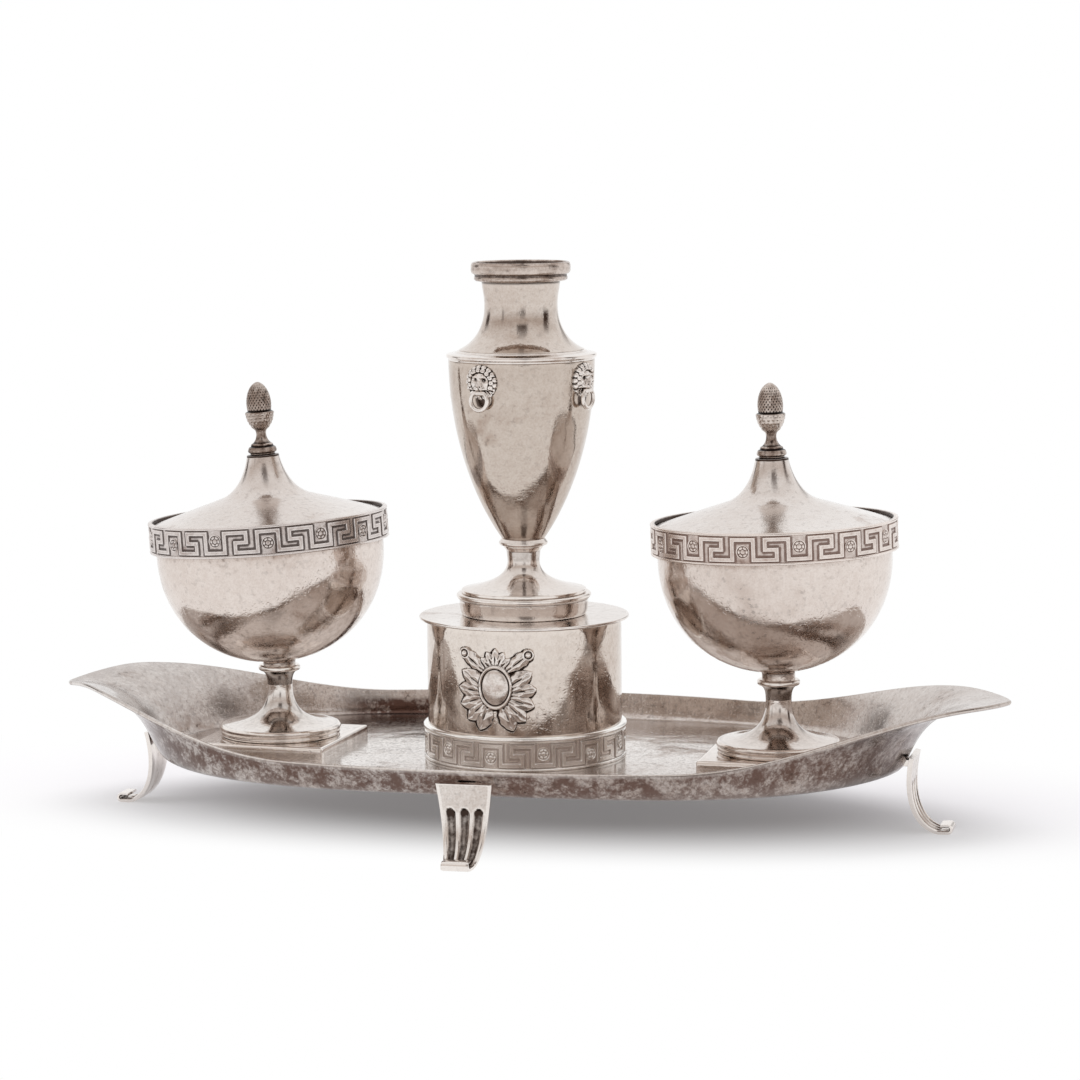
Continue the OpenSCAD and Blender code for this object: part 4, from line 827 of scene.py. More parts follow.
def make_vessel(name, vessel):
    x, _, neck, key_turn = vessel
    boss_r, inner = STEM_R + 1.2, RIM_R + 0.6
    place = vessel_place(vessel)

    edge = stepped(FOOT_R, 0, (-0.8, 0), (-0.3, 0.7), (-0.6, 1.5), (0, 2.1), (0, 3.1), (-0.7, 3.8))
    stem = curve([[FOOT_R - 1.2, 3.8], [0.4 * FOOT_R, 4.8], [STEM_R, 0.36 * FOOT_H],
                  [STEM_R, 0.72 * FOOT_H]], 28)
    collar = curve([[STEM_R, 0.72 * FOOT_H], [STEM_R, FOOT_H - 3.2], [STEM_R + 1, FOOT_H - 2.2],
                    [COLLAR_R - 0.4, FOOT_H - 1.9]], 8)
    line = joined(edge, stem, collar, stepped(COLLAR_R, FOOT_H, (0, -1.5), (0, -0.5), (-0.5, 0)),
                  [[0, FOOT_H], [0, 2.4]], stepped(STEM_R, 0, (-0.4, 2.4), (-0.4, 0), (0.6, 0), (0.6, 2.2)),
                  stepped(FOOT_R, 0, (-3, 2.2), (-2.2, 0)))
    turned(name + "_round_foot", line, "stand", polished, [name + "_foot"], lifted(x, PLINTH_TOP),
           corner=0.3)

    outside = [q for q in cup(BOWL_R, BOWL_DEPTH, BOWL_DEPTH, 44) if q[0] > boss_r + 0.5]
    fillet = [[boss_r + 0.35, 0.12], [boss_r + 0.05, -0.2]]
    line = joined(fillet, [[boss_r, -neck - 2], [0, -neck - 2]],
                  cup(BOWL_R - 1, BOWL_DEPTH - 1, BOWL_DEPTH, 36)[::-1],
                  [[RIM_R - 1.3, BAND_LOW], [RIM_R - 1.3, SEAT_H], [RIM_R, SEAT_H], [RIM_R, RIM_H],
                   [inner, RIM_H], [inner, BAND_LOW + 0.6], [BOWL_R, BAND_LOW]], outside)
    # The band's inner wall round the lid is darkened: painted shade in the gap between lid and rim
    turned(name + "_vessel", line, "stand", bowl_silver, [name + "_bowl"], place, corner=0.25,
           painted_shade_and_dirt=lambda r, z, a: 0.95 * ((z > SEAT_H - 0.3) & (r < RIM_R + 0.15) & (r > RIM_R - 0.3)))

    face = BAND_R - 0.1 - KEY_RAISE
    low, high = BAND_LOW + KEY_BORDER, RIM_H - KEY_BORDER
    rest = joined([[face, high - 0.05]], stepped(BAND_R, high, (-0.25, 0.02), (-0.02, 0.2)),
                  stepped(BAND_R, RIM_H, (0, -0.45), (-0.12, -0.12), (-0.45, 0)),
                  stepped(inner, RIM_H, (0.3, 0), (0, -0.1)),
                  stepped(inner, BAND_LOW, (0, 0.6), (-0.5, 0.2), (0, 0)),
                  stepped(BAND_R, BAND_LOW, (-0.35, 0), (-0.08, 0.12), (0, 0.4)),
                  stepped(BAND_R, low, (-0.02, -0.2), (-0.25, -0.02)), [[face, low + 0.03]])
    metal, soil_and_shade = (ink_key_silver, 0.12) if vessel is INK else (sand_key_silver, 0.24)
    key_band(name + "_key_band", name + "_band", face, low + 0.35, high - 0.35, rest, key_turn,
             "stand", metal, soil_and_shade, place)

    inside = joined(curve(bell_points(), 40) - LID_T * curve_left(bell_points(), 40))[::-1]
    inside = [q for q in inside if q[1] < BELL_H - LID_T]
    line = joined([[1.56, BELL_H]], curve(bell_points(), 40),
                  [[LID_R - 0.9, -LID_SINK + 0.9 * BRIM_SLOPE], [LID_R, -LID_SINK],
                   [LID_R, -LID_SINK - LID_T], [BRIM_R, -LID_SINK - LID_T],
                   [BRIM_R, brim_under(BRIM_R)]],
                  inside, [[BELL_R - LID_T, BELL_H - LID_T], [1.56, BELL_H - LID_T]])
    over = vessel_place(vessel, RIM_H)
    # The bell's top under the finial and the lid's outer edge are darkened: painted shade
    turned(name + "_domed_lid", line, name + "_lid_body", lid_silver, [name + "_lid"], over, corner=0.3,
           painted_shade_and_dirt=lambda r, z, a: np.maximum(smooth((z - BELL_H + 0.7) / 0.4),
                                           0.8 * smooth((r - LID_R + 0.5) / 0.4)))

    low = -LID_SINK - LID_T - 4
    line = [[BEZEL_R - 0.8, low], [BEZEL_R, low], [BEZEL_R, brim_under(BEZEL_R)],
            [BEZEL_R - 0.8, brim_under(BEZEL_R - 0.8)]]
    turned(name + "_lid_ring", line, name + "_lid_body", inner_metal, [name + "_lid_bezel"], over,
           corner=0.15)
    make_acorn(name, vessel)


def bell_points():
    return [[BELL_R, BELL_H], [BELL_R + 1, 0.72 * BELL_H],
            [0.6 * BELL_FOOT[0], BELL_FOOT[1] + 0.4 * BELL_FOOT[0] * BRIM_SLOPE], list(BELL_FOOT)]


def brim_under(r):
    return BELL_FOOT[1] - BRIM_SLOPE * (r - BELL_FOOT[0]) - UNDER_DROP


def make_acorn(name, vessel):
    """The finial: a moulded button, a thin waist, a ringed cup and a stippled nut."""
    s, w = FINIAL_H / 24.3, ACORN_R / 4.8
    button = [[r * w, z * s] for r, z in ((4.1, 0), (4.1, 0.6), (4.7, 0.9), (4.85, 1.3), (4.8, 1.7),
                                          (4.5, 2.5), (3.8, 2.8), (3.75, 3.1), (3.6, 3.6))]
    waist = curve([[2.9 * w, 4 * s], [1.7 * w, 5.2 * s], [1.3 * w, 7.2 * s], [2 * w, 8.3 * s]], 14)
    cup_side = curve([[2 * w, 8.3 * s], [3 * w, 9 * s], [ACORN_R - 0.1, 11.2 * s], [ACORN_R, 14.2 * s]],
                     30)[1:]
    nut_side = curve([[3.9 * w, 14.7 * s], [4.8 * w, 19.4 * s], [2.9 * w, 23.4 * s], [0.4 * w, FINIAL_H]],
                     64)
    line = joined([[0, -LID_T - 2.6], [1.5, -LID_T - 2.6], [1.5, 0]], button, waist, cup_side, nut_side,
                  [[0, FINIAL_H]])

    def relief(angle, r, z):
        if z > 14.7 * s:
            # Dimples in staggered rows, 22 to each row
            row = (z - 14.7 * s) / 0.82
            across = np.cos(22 * angle + math.pi * math.floor(row))
            up = math.sin(math.pi * (row % 1)) * min(1, (FINIAL_H - z) / 1.6)
            return -0.24 * up * np.clip(across, 0, 1) ** 0.8
        if 9 * s < z < 14 * s:
            row = (z - 9 * s) / 1.12
            scale = np.abs(np.cos(9 * angle + (math.pi / 2) * (math.floor(row) % 2)))
            return 0.2 * scale * (1 - (row % 1)) - 0.1
        return 0 * angle

    # Darkened under the cup's lip, at the foot on the lid and under the button's edge: painted shade in the
    # crevices
    def painted_shade_and_dirt(r, z, a):
        under_cup = 0.9 * (np.abs(z - 14.6 * s) < 0.35) * (r < ACORN_R - 0.2)
        return np.maximum(np.maximum(under_cup, 1.0 * (z < 0.3)), 0.7 * (np.abs(z - 2.85 * s) < 0.3))

    turned(name + "_acorn_finial", line, name + "_lid_body", nut_silver, [name + "_finial"],
           vessel_place(vessel, RIM_H + BELL_H), corner=0.15, longest=0.4, steps=176, relief=relief,
           crease=70, reach=0.1, passes=4,
           painted_shade_and_dirt=painted_shade_and_dirt)


# The box and its cover ----------------------------------------------------------------

def make_box():
    wall = [[BOX_R - 1, 0], [BOX_R, 0], [BOX_R, BOX_H], [BOX_R - 1, BOX_H]]
    turned("round_box_wall", wall, "stand", box_silver, ["box_wall"], lifted(0, FLOOR_Z), corner=0.25)
    base = [[2.06, 0], [BOX_R - 1, 0], [BOX_R - 1, SHEET], [2.06, SHEET]]
    turned("round_box_base", base, "stand", inner_metal, ["box_base"], lifted(0, FLOOR_Z), corner=0.1)
    face, h = BOX_BAND_R - 0.1 - KEY_RAISE, BOX_BAND_H
    low, high = KEY_BORDER, h - 2.2
    r = BOX_BAND_R
    rest = joined([[face, high - 0.1]], stepped(r, high, (-0.1, -0.02), (0.05, 0.15)),
                  stepped(r, h, (0.3, -1.75), (0.38, -1.35), (0.33, -0.85), (0.1, -0.45), (-0.3, -0.2)),
                  [[BOX_R + 0.2, h], [BOX_R, h], [BOX_R, 0]], stepped(r, 0, (-0.1, 0), (0, 0.15)),
                  stepped(r, low, (0, -0.25), (-0.15, -0.05)), [[face, low]])
    key_band("round_box_key_band", "box_band", face, low + 0.35, high - 0.45, rest, BOX_KEY_TURN,
             "stand", box_key_silver, 0.16, lifted(0, FLOOR_Z))


def leaf_rise(x, y, at, turn, length, width, high):
    """Height of a pointed leaf with a sunk midrib and lobed edges, over a point of the sheet."""
    a = math.radians(turn)
    u = ((x - at[0]) * math.cos(a) + (y - at[1]) * math.sin(a)) / length
    v = (-(x - at[0]) * math.sin(a) + (y - at[1]) * math.cos(a)) / (width / 2)
    inside = (u > 0) & (u < 1)
    uc = np.clip(u, 1e-4, 1 - 1e-4)
    half = np.sin(math.pi * uc ** 1.3) ** 0.8 * (0.9 + 0.1 * np.abs(np.cos(4.5 * math.pi * uc)))
    t = np.abs(v) / np.maximum(half, 1e-4)
    rise = np.sqrt(np.clip(1 - t ** 2, 0, 1)) * (0.55 + 0.45 * np.sin(math.pi * uc ** 0.8))
    rise -= 0.3 * np.exp(-(v / 0.16) ** 2) * np.sin(math.pi * uc)
    rise -= 0.16 * np.abs(np.sin(9 * (uc + 0.35 * np.abs(v)))) * (t < 1)
    return np.where(inside & (t < 1), high * np.clip(rise, 0.12, 1), -1.0)


def make_ornament():
    """The applied ornament on the box: a plain oval boss among leaves, under a fan of petals."""
    step = 0.2
    xs, ys = np.arange(-17, 17.01, step), np.arange(-16.4, 17.01, step)
    x, y = np.meshgrid(xs, ys, indexing="ij")
    rise = np.full(x.shape, -1.0)
    for side in (1, -1):
        sx = x * side
        for k in range(5):
            rise = np.maximum(rise, leaf_rise(sx, y, (1.5, -1.5 - 0.6 * k), 32 - 25 * k, 12.3 - 0.3 * k,
                                              6.2, 1.6 - 0.08 * k))
        rise = np.maximum(rise, leaf_rise(sx, y, (2, 4), 38, 13, 5, 1.8))
        knob = np.hypot(sx - 10.6, y - 10.6) / 2
        dome = np.sqrt(np.clip(1 - knob ** 2, 0, 1))
        ball = 0.5 + 1.4 * dome - 0.8 * np.exp(-((knob - 0.55) / 0.16) ** 2)
        rise = np.where(knob < 1, np.maximum(rise, ball), rise)
    for k in range(-2, 3):
        rise = np.maximum(rise, leaf_rise(x, y, (0, 5), 90 + 24 * k, 7.6 - 0.5 * abs(k), 3.2,
                                          1.6 - 0.1 * abs(k)))
    oval = np.hypot(x / 5.6, y / 7.4)
    boss = np.sqrt(np.clip(1 - (oval / 0.78) ** 2, 0, 1))
    rim = 1.0 + 0.85 * np.exp(-((oval - 0.9) / 0.07) ** 2) + 0.95 * boss
    rise = np.where(oval < 1, np.maximum(rim, rise * 0), rise)
    # A thin ground under it all, a little wider than the leaves
    near = rise > 0
    for _ in range(4):
        grown = near.copy()
        grown[1:], grown[:-1] = grown[1:] | near[:-1], grown[:-1] | near[1:]
        grown[:, 1:], grown[:, :-1] = grown[:, 1:] | near[:, :-1], grown[:, :-1] | near[:, 1:]
        near = grown
    # The ground round the leaves is darkened: a painted shadow outlining the relief
    sunk = near & (rise < 0.15)
    rise = np.where(near, np.maximum(rise, 0.12), rise)
    top = np.where(rise > 0, rise, -0.25)
    angle = -math.pi / 2 + x / BOX_R
    out = BOX_R + top
    points = np.stack([out * np.cos(angle), out * np.sin(angle), y], -1).reshape(-1, 3)
    raised = rise > 0
    used = raised[:-1, :-1] | raised[1:, :-1] | raised[:-1, 1:] | raised[1:, 1:]
    cols = len(ys)
    i, j = np.nonzero(used)
    quads = np.column_stack([i * cols + j, (i + 1) * cols + j, (i + 1) * cols + j + 1, i * cols + j + 1])
    keep, renumber = np.unique(quads, return_inverse=True)
    faces = renumber.reshape(quads.shape).tolist()
    return piece("box_ornament", points[keep], faces, "stand", relief_silver, ["box_mount"],
                 lifted(0, MOUNT_Z, MOUNT_TURN), crease=80, reach=0.17, passes=8,
                 painted_shade_and_grime=0.9 * sunk.reshape(-1)[keep])


def make_cover():
    bore = 1.86
    plate = [[bore, 0], [COVER_R - 0.3, 0], [COVER_R, 0.3], [COVER_R, COVER_T - 0.3],
             [COVER_R - 0.3, COVER_T], [bore, COVER_T]]
    turned("box_cover", plate, "cover", lid_silver, ["cover_plate"], lifted(0, COVER_Z), corner=0.2)
    outer = BOX_R - 1 - LIFT_GAP
    turned("box_cover_ring", [[outer - 0.8, -4], [outer, -4], [outer, 0], [outer - 0.8, 0]], "cover",
           inner_metal, ["cover_bezel"],
           lifted(0, COVER_Z), corner=0.15)
    h, r = STEP_H, STEP_R
    step = [[r - 1.9, 0], [r - 1.4, 0.12 * h], [r - 1.1, 0.3 * h], [r - 0.9, h - 1.9], [r - 0.2, h - 1.5],
            [r, h - 1], [r, h - 0.5],
            [r - 0.5, h], [bore, h], [bore, h - 1.2], [r - 2.4, h - 1.2], [r - 2.9, 0]]
    turned("vase_round_step", step, "cover", polished, ["vase_step"], lifted(0, COVER_TOP), corner=0.5)
    h = VASE_STEM_H
    sweep = curve([[STEP_R - 1.6, 1.2], [0.42 * STEP_R, 3.4], [VASE_STEM_R - 0.3, 6], [VASE_STEM_R, 11.2]],
                  34)
    foot = joined([[bore, 0], [STEP_R - 1.6, 0]], sweep,
                  stepped(VASE_STEM_R, h, (0.3, -1.6), (1.2, -0.5), (1.4, 0)), [[bore, h]])
    turned("vase_spread_foot", foot, "cover", polished, ["vase_foot"], lifted(0, STEP_TOP), corner=0.35)
    knop = [[bore, 0], [VASE_STEM_R + 1.4, 0], [KNOP_R - 0.3, 0.3], [KNOP_R, 0.8], [KNOP_R, 1.3],
            [KNOP_R - 0.4, 1.8], [KNOP_R - 0.9, KNOP_H], [bore, KNOP_H]]
    turned("vase_ring_knop", knop, "cover", polished, ["vase_knop"], lifted(0, KNOP_Z), corner=0.4)
    p = body_points()
    inside = (curve(p, 48) + curve_left(p, 48))
    inside = inside[inside[:, 1] > 3]
    body = joined([[bore, 0]], curve(p, 48), [[SHOULDER_R - 1, BODY_H]], inside[::-1],
                  [[inside[0][0] - 0.4, 2.4], [bore, 2.4]])
    turned("vase_tapered_body", body, "cover", vase_silver, ["vase_body"], lifted(0, BODY_Z), corner=0.2,
           longest=0.9,
           steps=240, painted_shade_and_dirt=behind_rings)
    r = SHOULDER_R
    ring = joined(stepped(r, 0, (-1, 0), (0, 0), (0.1, 0.7), (0.6, 1), (0.7, 1.6), (0.5, 2.1),
                          (-0.4, 2.3), (-2.4, 2.6)),
                  stepped(r, SHOULDER_H, (-3, 0), (-5, 0), (-5, -1)), [[r - 1.6, 1.3]])
    turned("vase_shoulder_ring", ring, "cover", polished, ["vase_shoulder"], lifted(0, SHOULDER_Z),
           corner=0.3)
    p, q = neck_points()
    low_inside = (curve(p, 26) + curve_left(p, 26))
    low_inside = low_inside[low_inside[:, 1] > 0]
    neck = joined([[SHOULDER_R - 3.4, 0]], curve(p, 26), curve(q, 10)[1:],
                  (curve(q, 10) + curve_left(q, 10))[::-1], low_inside[::-1], [[SHOULDER_R - 5, 0]])
    # The inside of the neck and its top under the lip are darkened: painted shade
    turned("vase_waisted_neck", neck, "cover", box_silver, ["vase_neck"], lifted(0, NECK_Z), corner=0.2,
           painted_shade_and_dirt=lambda r, z, a: 0.9 * (r < NECK_R - 0.7) + 0.7 * smooth((z - NECK_H + 0.9) / 0.8))
    h, r = LIP_H, LIP_R
    lip = joined(stepped(NECK_R, 0, (-0.2, 0), (0.8, 0)),
                 stepped(r, 0, (-1.6, 0.3), (-1.1, 0.7), (-1, 1.3), (-1.3, 2), (-1.1, 2.4),
                         (-0.3, 2.8), (0, 3.5)),
                 stepped(r, h, (0, -1), (-0.3, -0.3), (-0.7, 0), (-1.2, 0), (-1.9, -1.4)), [[NECK_R, 2.2]])
    # The inside of the mouth and the groove round the lip are darkened: painted shade
    turned("vase_moulded_lip", lip, "cover", lip_silver, ["vase_lip"], lifted(0, LIP_Z), corner=0.3,
           longest=0.5,
           painted_shade_and_dirt=lambda r, z, a: np.maximum(0.95 * (r < LIP_R - 1.5) * (z > 1),
                                           0.5 * (np.abs(z - 2.1) < 0.35)))


def behind_rings(r, z, a):
    """Darkening on the vase body behind each of the four rings."""
    off = (a - math.radians(VASE_TURN) + math.pi / 4) % (math.pi / 2) - math.pi / 4
    far = np.hypot(off * r, z + BODY_Z - BAR_Z + RING_DROP)
    return 0.95 * (1 - smooth((far - 1.9) / 1.5)) * (r > 12)


def body_points():
    return [[KNOP_R - 0.9, 0], [0.62 * SHOULDER_R, 0.19 * BODY_H], [0.99 * SHOULDER_R, 0.53 * BODY_H],
            [SHOULDER_R, BODY_H]]


def neck_points():
    r = SHOULDER_R
    return ([[r - 3.6, 0.3], [r - 7.6, 2], [NECK_R - 0.2, 6.6], [NECK_R, 15]],
            [[NECK_R, 15], [NECK_R, 18], [NECK_R + 0.8, NECK_H - 2], [NECK_R + 0.8, NECK_H]])


# Lion masks and their rings -----------------------------------------------------------

def body_radius(z):
    line = curve(body_points(), 16)
    return np.interp(z, BODY_Z + line[:, 1], line[:, 0])


def hill(x, y, cx, cy, wx, wy):
    return np.exp(-((x - cx) / wx) ** 2 - ((y - cy) / wy) ** 2)


def lion_rise(x, y):
    """Height of the lion's head over the vase, at a point in mask radii."""
    rho, turn = np.hypot(x, y), np.arctan2(y, np.abs(x))
    rise = 0.6 + 1.5 * np.clip(1 - rho ** 2, 0, 1) ** 0.75
    # Two rows of curls round the face, the outer ones larger
    for middle, count, shift, wide, high in ((0.7, 15, 0, 0.13, 0.75), (0.9, 17, math.pi / 17, 0.12, 0.8)):
        along = ((np.arctan2(y, x) + shift) * count / (2 * math.pi) + 0.5) % 1 - 0.5
        curl = np.hypot(along * 2 * math.pi * middle / count / 1.25, rho - middle) / wide
        rise += high * (np.sqrt(np.clip(1 - curl ** 2, 0, 1)) - 0.35 * np.exp(-(curl / 0.3) ** 2) - 0.28)
    rise -= 0.5 * np.exp(-((rho - 0.57) / 0.035) ** 2) * smooth((y + 0.3) / 0.2)
    u, v = np.abs(x) / 1.12, y / 1.12
    rise += 0.6 * hill(u, v, 0.43, 0.42, 0.11, 0.12)
    rise += 0.85 * hill(u, v, 0.21, 0.29, 0.17, 0.07) + 0.35 * hill(u, v, 0, 0.36, 0.12, 0.12)
    rise -= 1.25 * hill(u, v, 0.22, 0.13, 0.12, 0.085)
    rise += 0.75 * hill(u, v, 0.22, 0.12, 0.055, 0.045)
    rise += 1.1 * hill(u, v, 0, 0.03, 0.1, 0.28) + 0.8 * hill(u, v, 0, -0.15, 0.15, 0.09)
    rise -= 0.6 * hill(u, v, 0.08, -0.2, 0.035, 0.03)
    rise += 1.1 * hill(u, v, 0.17, -0.33, 0.16, 0.13) - 0.4 * hill(u, v, 0, -0.33, 0.035, 0.12)
    rise += 0.4 * hill(u, v, 0.4, -0.06, 0.13, 0.18)
    rise -= 0.9 * hill(x, y, 0, -0.53, 0.22, 0.045)
    rise += 0.5 * hill(x, y, 0, -0.68, 0.15, 0.1)
    jaw = smooth((np.abs(x) - 0.15) / 0.07) * smooth((-0.39 - y) / 0.06)
    return rise + (np.minimum(rise, 0.8 + 0.12 * np.cos(26 * turn)) - rise) * jaw


def make_mask(k):
    spokes, rings = 120, 44
    rho, t = np.meshgrid(np.linspace(1, 0.015, rings), np.linspace(0, 2 * math.pi, spokes, endpoint=False),
                         indexing="ij")
    scallop = 1 + 0.03 * np.abs(np.cos(10 * t)) * (rho > 0.9)
    x, y = rho * scallop * np.cos(t), rho * scallop * np.sin(t)
    rise = lion_rise(x, y)
    # The mask's edge on the vase and its eye sockets are darkened as painted shade, and its low relief as
    # deposit and painted shade
    dark = 0.9 * (rho > 0.96) + 0.8 * hill(np.abs(x) / 1.12, y / 1.12, 0.22, 0.11, 0.1, 0.05)
    rise[0] = -0.3
    rise[1] = np.minimum(rise[1], 0.55)
    r = body_radius(MASK_Z + MASK_R * y)
    a = MASK_R * x / r
    points = np.stack([(r + rise) * np.cos(a), (r + rise) * np.sin(a), MASK_Z + MASK_R * y],
                      -1).reshape(-1, 3)
    faces = grid_faces(rings, spokes, round_cols=True)
    faces.append([(rings - 1) * spokes + j for j in range(spokes)])
    painted_shade_and_grime = np.maximum(dark, np.clip(0.9 - rise, 0, 1)).ravel()
    turn = -90 + VASE_TURN + 90 * (k - 1)
    return piece(f"lion_head_{k}", points, faces, "cover", relief_silver, [f"lion_mask_{k}"],
                 Matrix.Rotation(math.radians(turn), 4, "Z"), crease=80, reach=0.12, passes=8, painted_shade_and_grime=painted_shade_and_grime)


def make_ring(k):
    """A drop ring, thicker at its foot, hung by a bar through the lion's mouth."""
    open_by = math.acos(RING_DROP / RING_R)
    turn = np.linspace(math.pi / 2 + open_by, 5 * math.pi / 2 - open_by, 57)
    loop = np.column_stack([RING_R * np.cos(turn), RING_R * np.sin(turn) - RING_DROP])
    bar = np.array([[s, 0] for s in np.linspace(RING_ARM, -RING_ARM, 12)[1:-1]])
    path = np.vstack([loop, bar])
    n, sides, points = len(path), 16, []
    for i in range(n):
        ahead = path[(i + 1) % n] - path[i - 1]
        ahead /= np.linalg.norm(ahead)
        out = np.array([ahead[1], -ahead[0]])
        low_down = smooth((-path[i][1]) / (2 * RING_R))
        thick = RING_WIRE_R * (0.92 if i >= len(loop) else 0.86 + 0.14 * low_down)
        for b in np.linspace(0, 2 * math.pi, sides, endpoint=False):
            side = out * thick * math.cos(b)
            points.append((thick * math.sin(b), path[i][0] + side[0], path[i][1] + side[1]))
    faces = grid_faces(n, sides, round_rows=True, round_cols=True)
    turn = -90 + VASE_TURN + 90 * (k - 1)
    place = (Matrix.Rotation(math.radians(turn), 4, "Z")
             @ Matrix.Translation(((body_radius(BAR_Z) + BAR_OUT) * MM, 0, BAR_Z * MM)))
    return piece(f"drop_ring_{k}", points, faces, f"ring_{k}", relief_silver, [f"lion_ring_{k}"], place,
                 crease=60, reach=0.3)


# All the pieces -----------------------------------------------------------------------

make_tray()
make_foot("strap_foot_front", "foot_front", -90, FRONT_FOOT_OFF)
make_foot("strap_foot_back", "foot_back", 90)
make_foot("strap_foot_left", "foot_left", 180)
make_foot("strap_foot_right", "foot_right", 0)
make_slab("ink_square_plinth", "ink_plinth", -BOWL_X, INK_PLINTH_TURN)
make_slab("sand_square_plinth", "sand_plinth", BOWL_X, 0)
make_vessel("ink", INK)
make_vessel("sand", SAND)

liner_floor = BOWL_DEPTH - (BOWL_DEPTH - 1) * math.sqrt(1 - ((LINER_R + 2 * LIFT_GAP) / (BOWL_R - 1)) ** 2)
low, top = max(SEAT_H - LINER_DEPTH, liner_floor), SEAT_H + FLANGE_T
turned("ink_glass", [[0, low], [LINER_R - 2, low], [LINER_R - 0.6, low + 0.6], [LINER_R, low + 2],
                     [LINER_R, SEAT_H], [LID_R, SEAT_H],
                     [LID_R, top], [LINER_R - LINER_WALL, top], [LINER_R - LINER_WALL, low + 3.5],
                     [LINER_R - LINER_WALL - 1.5, low + LINER_WALL], [0, low + LINER_WALL]],
       "ink_liner_body", glass, ["ink_liner"], vessel_place(INK), corner=0.5, slot="glass")

make_box()
make_ornament()
make_cover()
for k in (1, 2, 3, 4):
    make_mask(k)
    make_ring(k)

# The pieces that show as the construction model has them
kept = dict.fromkeys(("ink_stud", "ink_nut", "ink_finial_nut", "sand_stud", "sand_nut", "sand_finial_nut",
                      "box_screw", "box_nut", "vase_tie_rod", "vase_tie_nut"), inner_metal)
kept["sand_sifter"] = polished
for name, metal in kept.items():
    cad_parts[name].data.materials.clear()
    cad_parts[name].data.materials.append(metal)


# Floor, backdrop and light --------------------------------------------------------------

FLOOR_SIDE, FLOOR_COLOUR = 8.0, (0.90, 0.885, 0.91)
# The pool of the object's shadow: half sizes along and across, and its middle, in metres
POOL_X, POOL_Y, POOL_MID_Y = 0.28, 0.115, 0.035


def make_floor():
    """A white floor. Away from the object it turns to the plain white of the backdrop."""
    mesh = bpy.data.meshes.new("studio_floor")
    side = FLOOR_SIDE
    mesh.from_pydata([(-side, -side, 0), (side, -side, 0), (side, side, 0), (-side, side, 0)], [],
                     [(0, 1, 2, 3)])
    floor = bpy.data.objects.new("studio_floor", mesh)
    bpy.context.scene.collection.objects.link(floor)
    made = bpy.data.materials.new("White floor")
    made.use_nodes = True
    made.node_tree.nodes.clear()
    s = Sheet(made.node_tree)
    matte = s.node("ShaderNodeBsdfDiffuse")
    matte.inputs["Color"].default_value = (*FLOOR_COLOUR, 1)
    plain = s.node("ShaderNodeEmission")
    plain.inputs["Color"].default_value = (1, 1, 1, 1)
    plain.inputs["Strength"].default_value = 1.0
    path = s.node("ShaderNodeLightPath")
    seen = s.math("MAXIMUM", path.outputs["Is Camera Ray"], path.outputs["Is Transmission Ray"])
    seen = s.math("MAXIMUM", seen, path.outputs["Is Glossy Ray"])
    apart = s.node("ShaderNodeSeparateXYZ")
    s.join(s.place(), apart.inputs[0])
    across = s.math("DIVIDE", apart.outputs["X"], POOL_X)
    along = s.math("DIVIDE", s.math("SUBTRACT", apart.outputs["Y"], POOL_MID_Y), POOL_Y)
    square = s.math("ADD", s.math("MULTIPLY", across, across), s.math("MULTIPLY", along, along))
    far = s.math("SQRT", square)
    # For camera and mirrored rays the floor glows white, by 0.16 in the pool's middle up to all of it
    # beyond; the 0.16 lightens the shadow as painted light
    share = s.math("MULTIPLY", s.span(far, 0.35, 1.0, 0.16, 1.0), seen)
    mix = s.node("ShaderNodeMixShader")
    s.join(share, mix.inputs[0])
    s.join(matte.outputs[0], mix.inputs[1])
    s.join(plain.outputs[0], mix.inputs[2])
    s.join(mix.outputs[0], s.node("ShaderNodeOutputMaterial").inputs["Surface"])
    mesh.materials.append(made)


CAMERA_AT = Vector((0.2707, -1.0940, 0.2326))
HEADING, PITCH, ROLL = math.radians(13.62), math.radians(7.1), math.radians(0.55)

DIM_ROOM, GAP_DARK, PLAIN_LIGHT = (0.62, 0.55, 0.505), (0.05, 0.026, 0.017), (0.62, 0.61, 0.62)
# Dark gaps between the screens, in degrees: (how far to the right of the camera, half width,
# the height it starts at, the height it ends at, how deep it is from 0 to 1)
GAPS = ((84.0, 9.0, -3.0, 50.0, 0.97), (-122.0, 9.0, -3.0, 28.0, 0.95), (6.0, 7.0, -3.0, 22.0, 0.7),
        (150.0, 6.0, -3.0, 36.0, 0.55), (-58.0, 4.0, -3.0, 30.0, 0.5), (4.0, 15.0, 26.0, 90.0, 0.92))


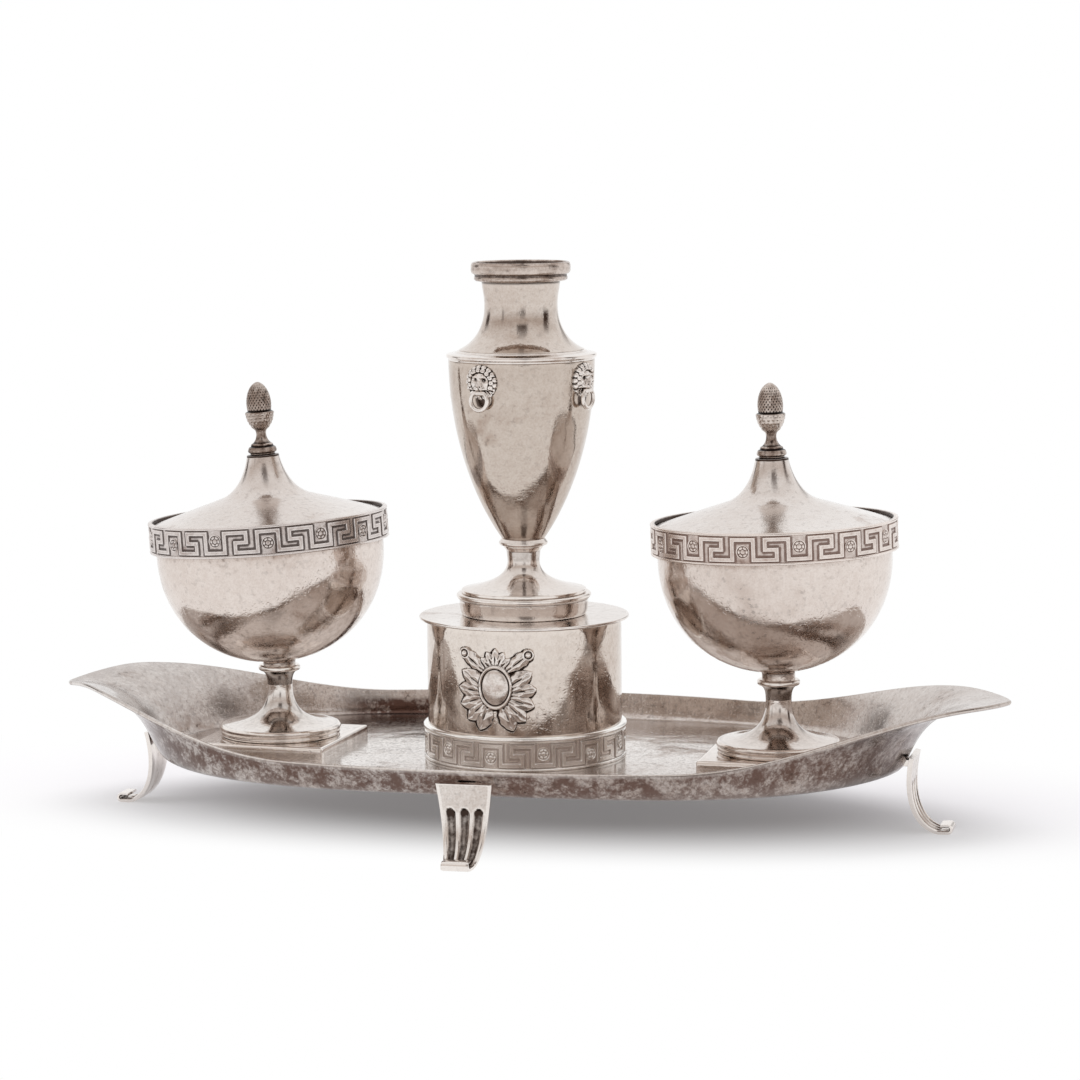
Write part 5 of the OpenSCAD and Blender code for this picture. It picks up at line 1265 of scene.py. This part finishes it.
def make_world():
    """White behind and above; in front a dimmer room with dark gaps between the white screens."""
    world = bpy.data.worlds.new("Studio")
    bpy.context.scene.world = world
    world.use_nodes = True
    world.node_tree.nodes.clear()
    s = Sheet(world.node_tree)
    apart = s.node("ShaderNodeSeparateXYZ")
    s.join(s.node("ShaderNodeTexCoord").outputs["Generated"], apart.inputs[0])
    x, y, z = apart.outputs
    side, ahead = math.sin(HEADING), math.cos(HEADING)
    to_front = s.math("ADD", s.math("MULTIPLY", x, side), s.math("MULTIPLY", y, -ahead))
    to_right = s.math("ADD", s.math("MULTIPLY", x, ahead), s.math("MULTIPLY", y, side))
    turn = s.math("DEGREES", s.math("ARCTAN2", to_right, to_front))
    up = s.math("DEGREES", s.math("ARCSINE", z))
    front = s.math("SUBTRACT", 1.0, s.span(s.math("ABSOLUTE", turn), 70.0, 135.0))
    low = s.math("SUBTRACT", 1.0, s.span(up, 8.0, 55.0))
    dim = s.math("MULTIPLY", front, s.span(low, 0.0, 1.0, 0.25, 1.0))
    dim = s.math("MULTIPLY", dim, s.span(up, 2.0, 24.0))
    colour = s.blend(dim, (1, 1, 1, 1), (*DIM_ROOM, 1))
    slow = s.noise(s.node("ShaderNodeTexCoord").outputs["Generated"], 2.0, 2.0)
    wobble = s.math("MULTIPLY", s.math("SUBTRACT", slow, 0.5), 14.0)
    for middle, half, start, ceiling, deep in GAPS:
        off = s.math("ABSOLUTE", s.math("ADD", s.math("SUBTRACT", turn, middle), wobble))
        strip = s.math("SUBTRACT", 1.0, s.span(off, half * 0.55, half * 1.5))
        strip = s.math("MULTIPLY", strip, s.span(up, start, start + 10.0))
        strip = s.math("MULTIPLY", strip, s.math("SUBTRACT", 1.0, s.span(up, ceiling * 0.3, ceiling)))
        colour = s.blend(s.math("MULTIPLY", strip, deep), colour, (*GAP_DARK, 1))
    path = s.node("ShaderNodeLightPath")
    mirrored = s.math("MAXIMUM", path.outputs["Is Glossy Ray"], path.outputs["Is Transmission Ray"])
    plain = s.blend(path.outputs["Is Camera Ray"], (*PLAIN_LIGHT, 1), (1, 1, 1, 1))
    back = s.node("ShaderNodeBackground")
    s.join(s.blend(mirrored, plain, colour), back.inputs["Color"])
    back.inputs["Strength"].default_value = 1.0
    s.join(back.outputs[0], s.node("ShaderNodeOutputWorld").inputs["Surface"])


def make_lamp(name, at, aim, size, power):
    lamp = bpy.data.lights.new(name, "AREA")
    lamp.shape, lamp.size, lamp.size_y = "RECTANGLE", size[0], size[1]
    lamp.energy = power
    obj = bpy.data.objects.new(name, lamp)
    obj.location = at
    obj.rotation_mode = "QUATERNION"
    obj.rotation_quaternion = (Vector(aim) - Vector(at)).to_track_quat("-Z", "Y")
    bpy.context.scene.collection.objects.link(obj)
    obj.visible_glossy = False
    return obj


def make_camera():
    view = bpy.data.cameras.new("photo_view")
    camera = bpy.data.objects.new("photo_view", view)
    bpy.context.scene.collection.objects.link(camera)
    ahead = Vector((-math.sin(HEADING) * math.cos(PITCH), math.cos(HEADING) * math.cos(PITCH),
                    -math.sin(PITCH)))
    right = Vector((math.cos(HEADING), math.sin(HEADING), 0))
    up = right.cross(ahead)
    across = right * math.cos(ROLL) - up * math.sin(ROLL)
    upright = right * math.sin(ROLL) + up * math.cos(ROLL)
    turn = Matrix((across, upright, -ahead)).transposed()
    camera.matrix_world = Matrix.Translation(CAMERA_AT) @ turn.to_4x4()
    view.sensor_width, view.lens = 36.0, 114.97
    view.clip_start, view.clip_end = 0.01, 50.0
    bpy.context.scene.camera = camera


make_floor()
make_world()
make_lamp("top_screen", (-0.1, 0.15, 1.3), (0, 0, 0.05), (1.3, 0.9), 9.0)
make_lamp("left_screen", (-1.2, -0.5, 0.8), (0, 0, 0.08), (0.9, 0.9), 3.0)
make_camera()
bpy.context.scene.view_settings.view_transform = "Standard"
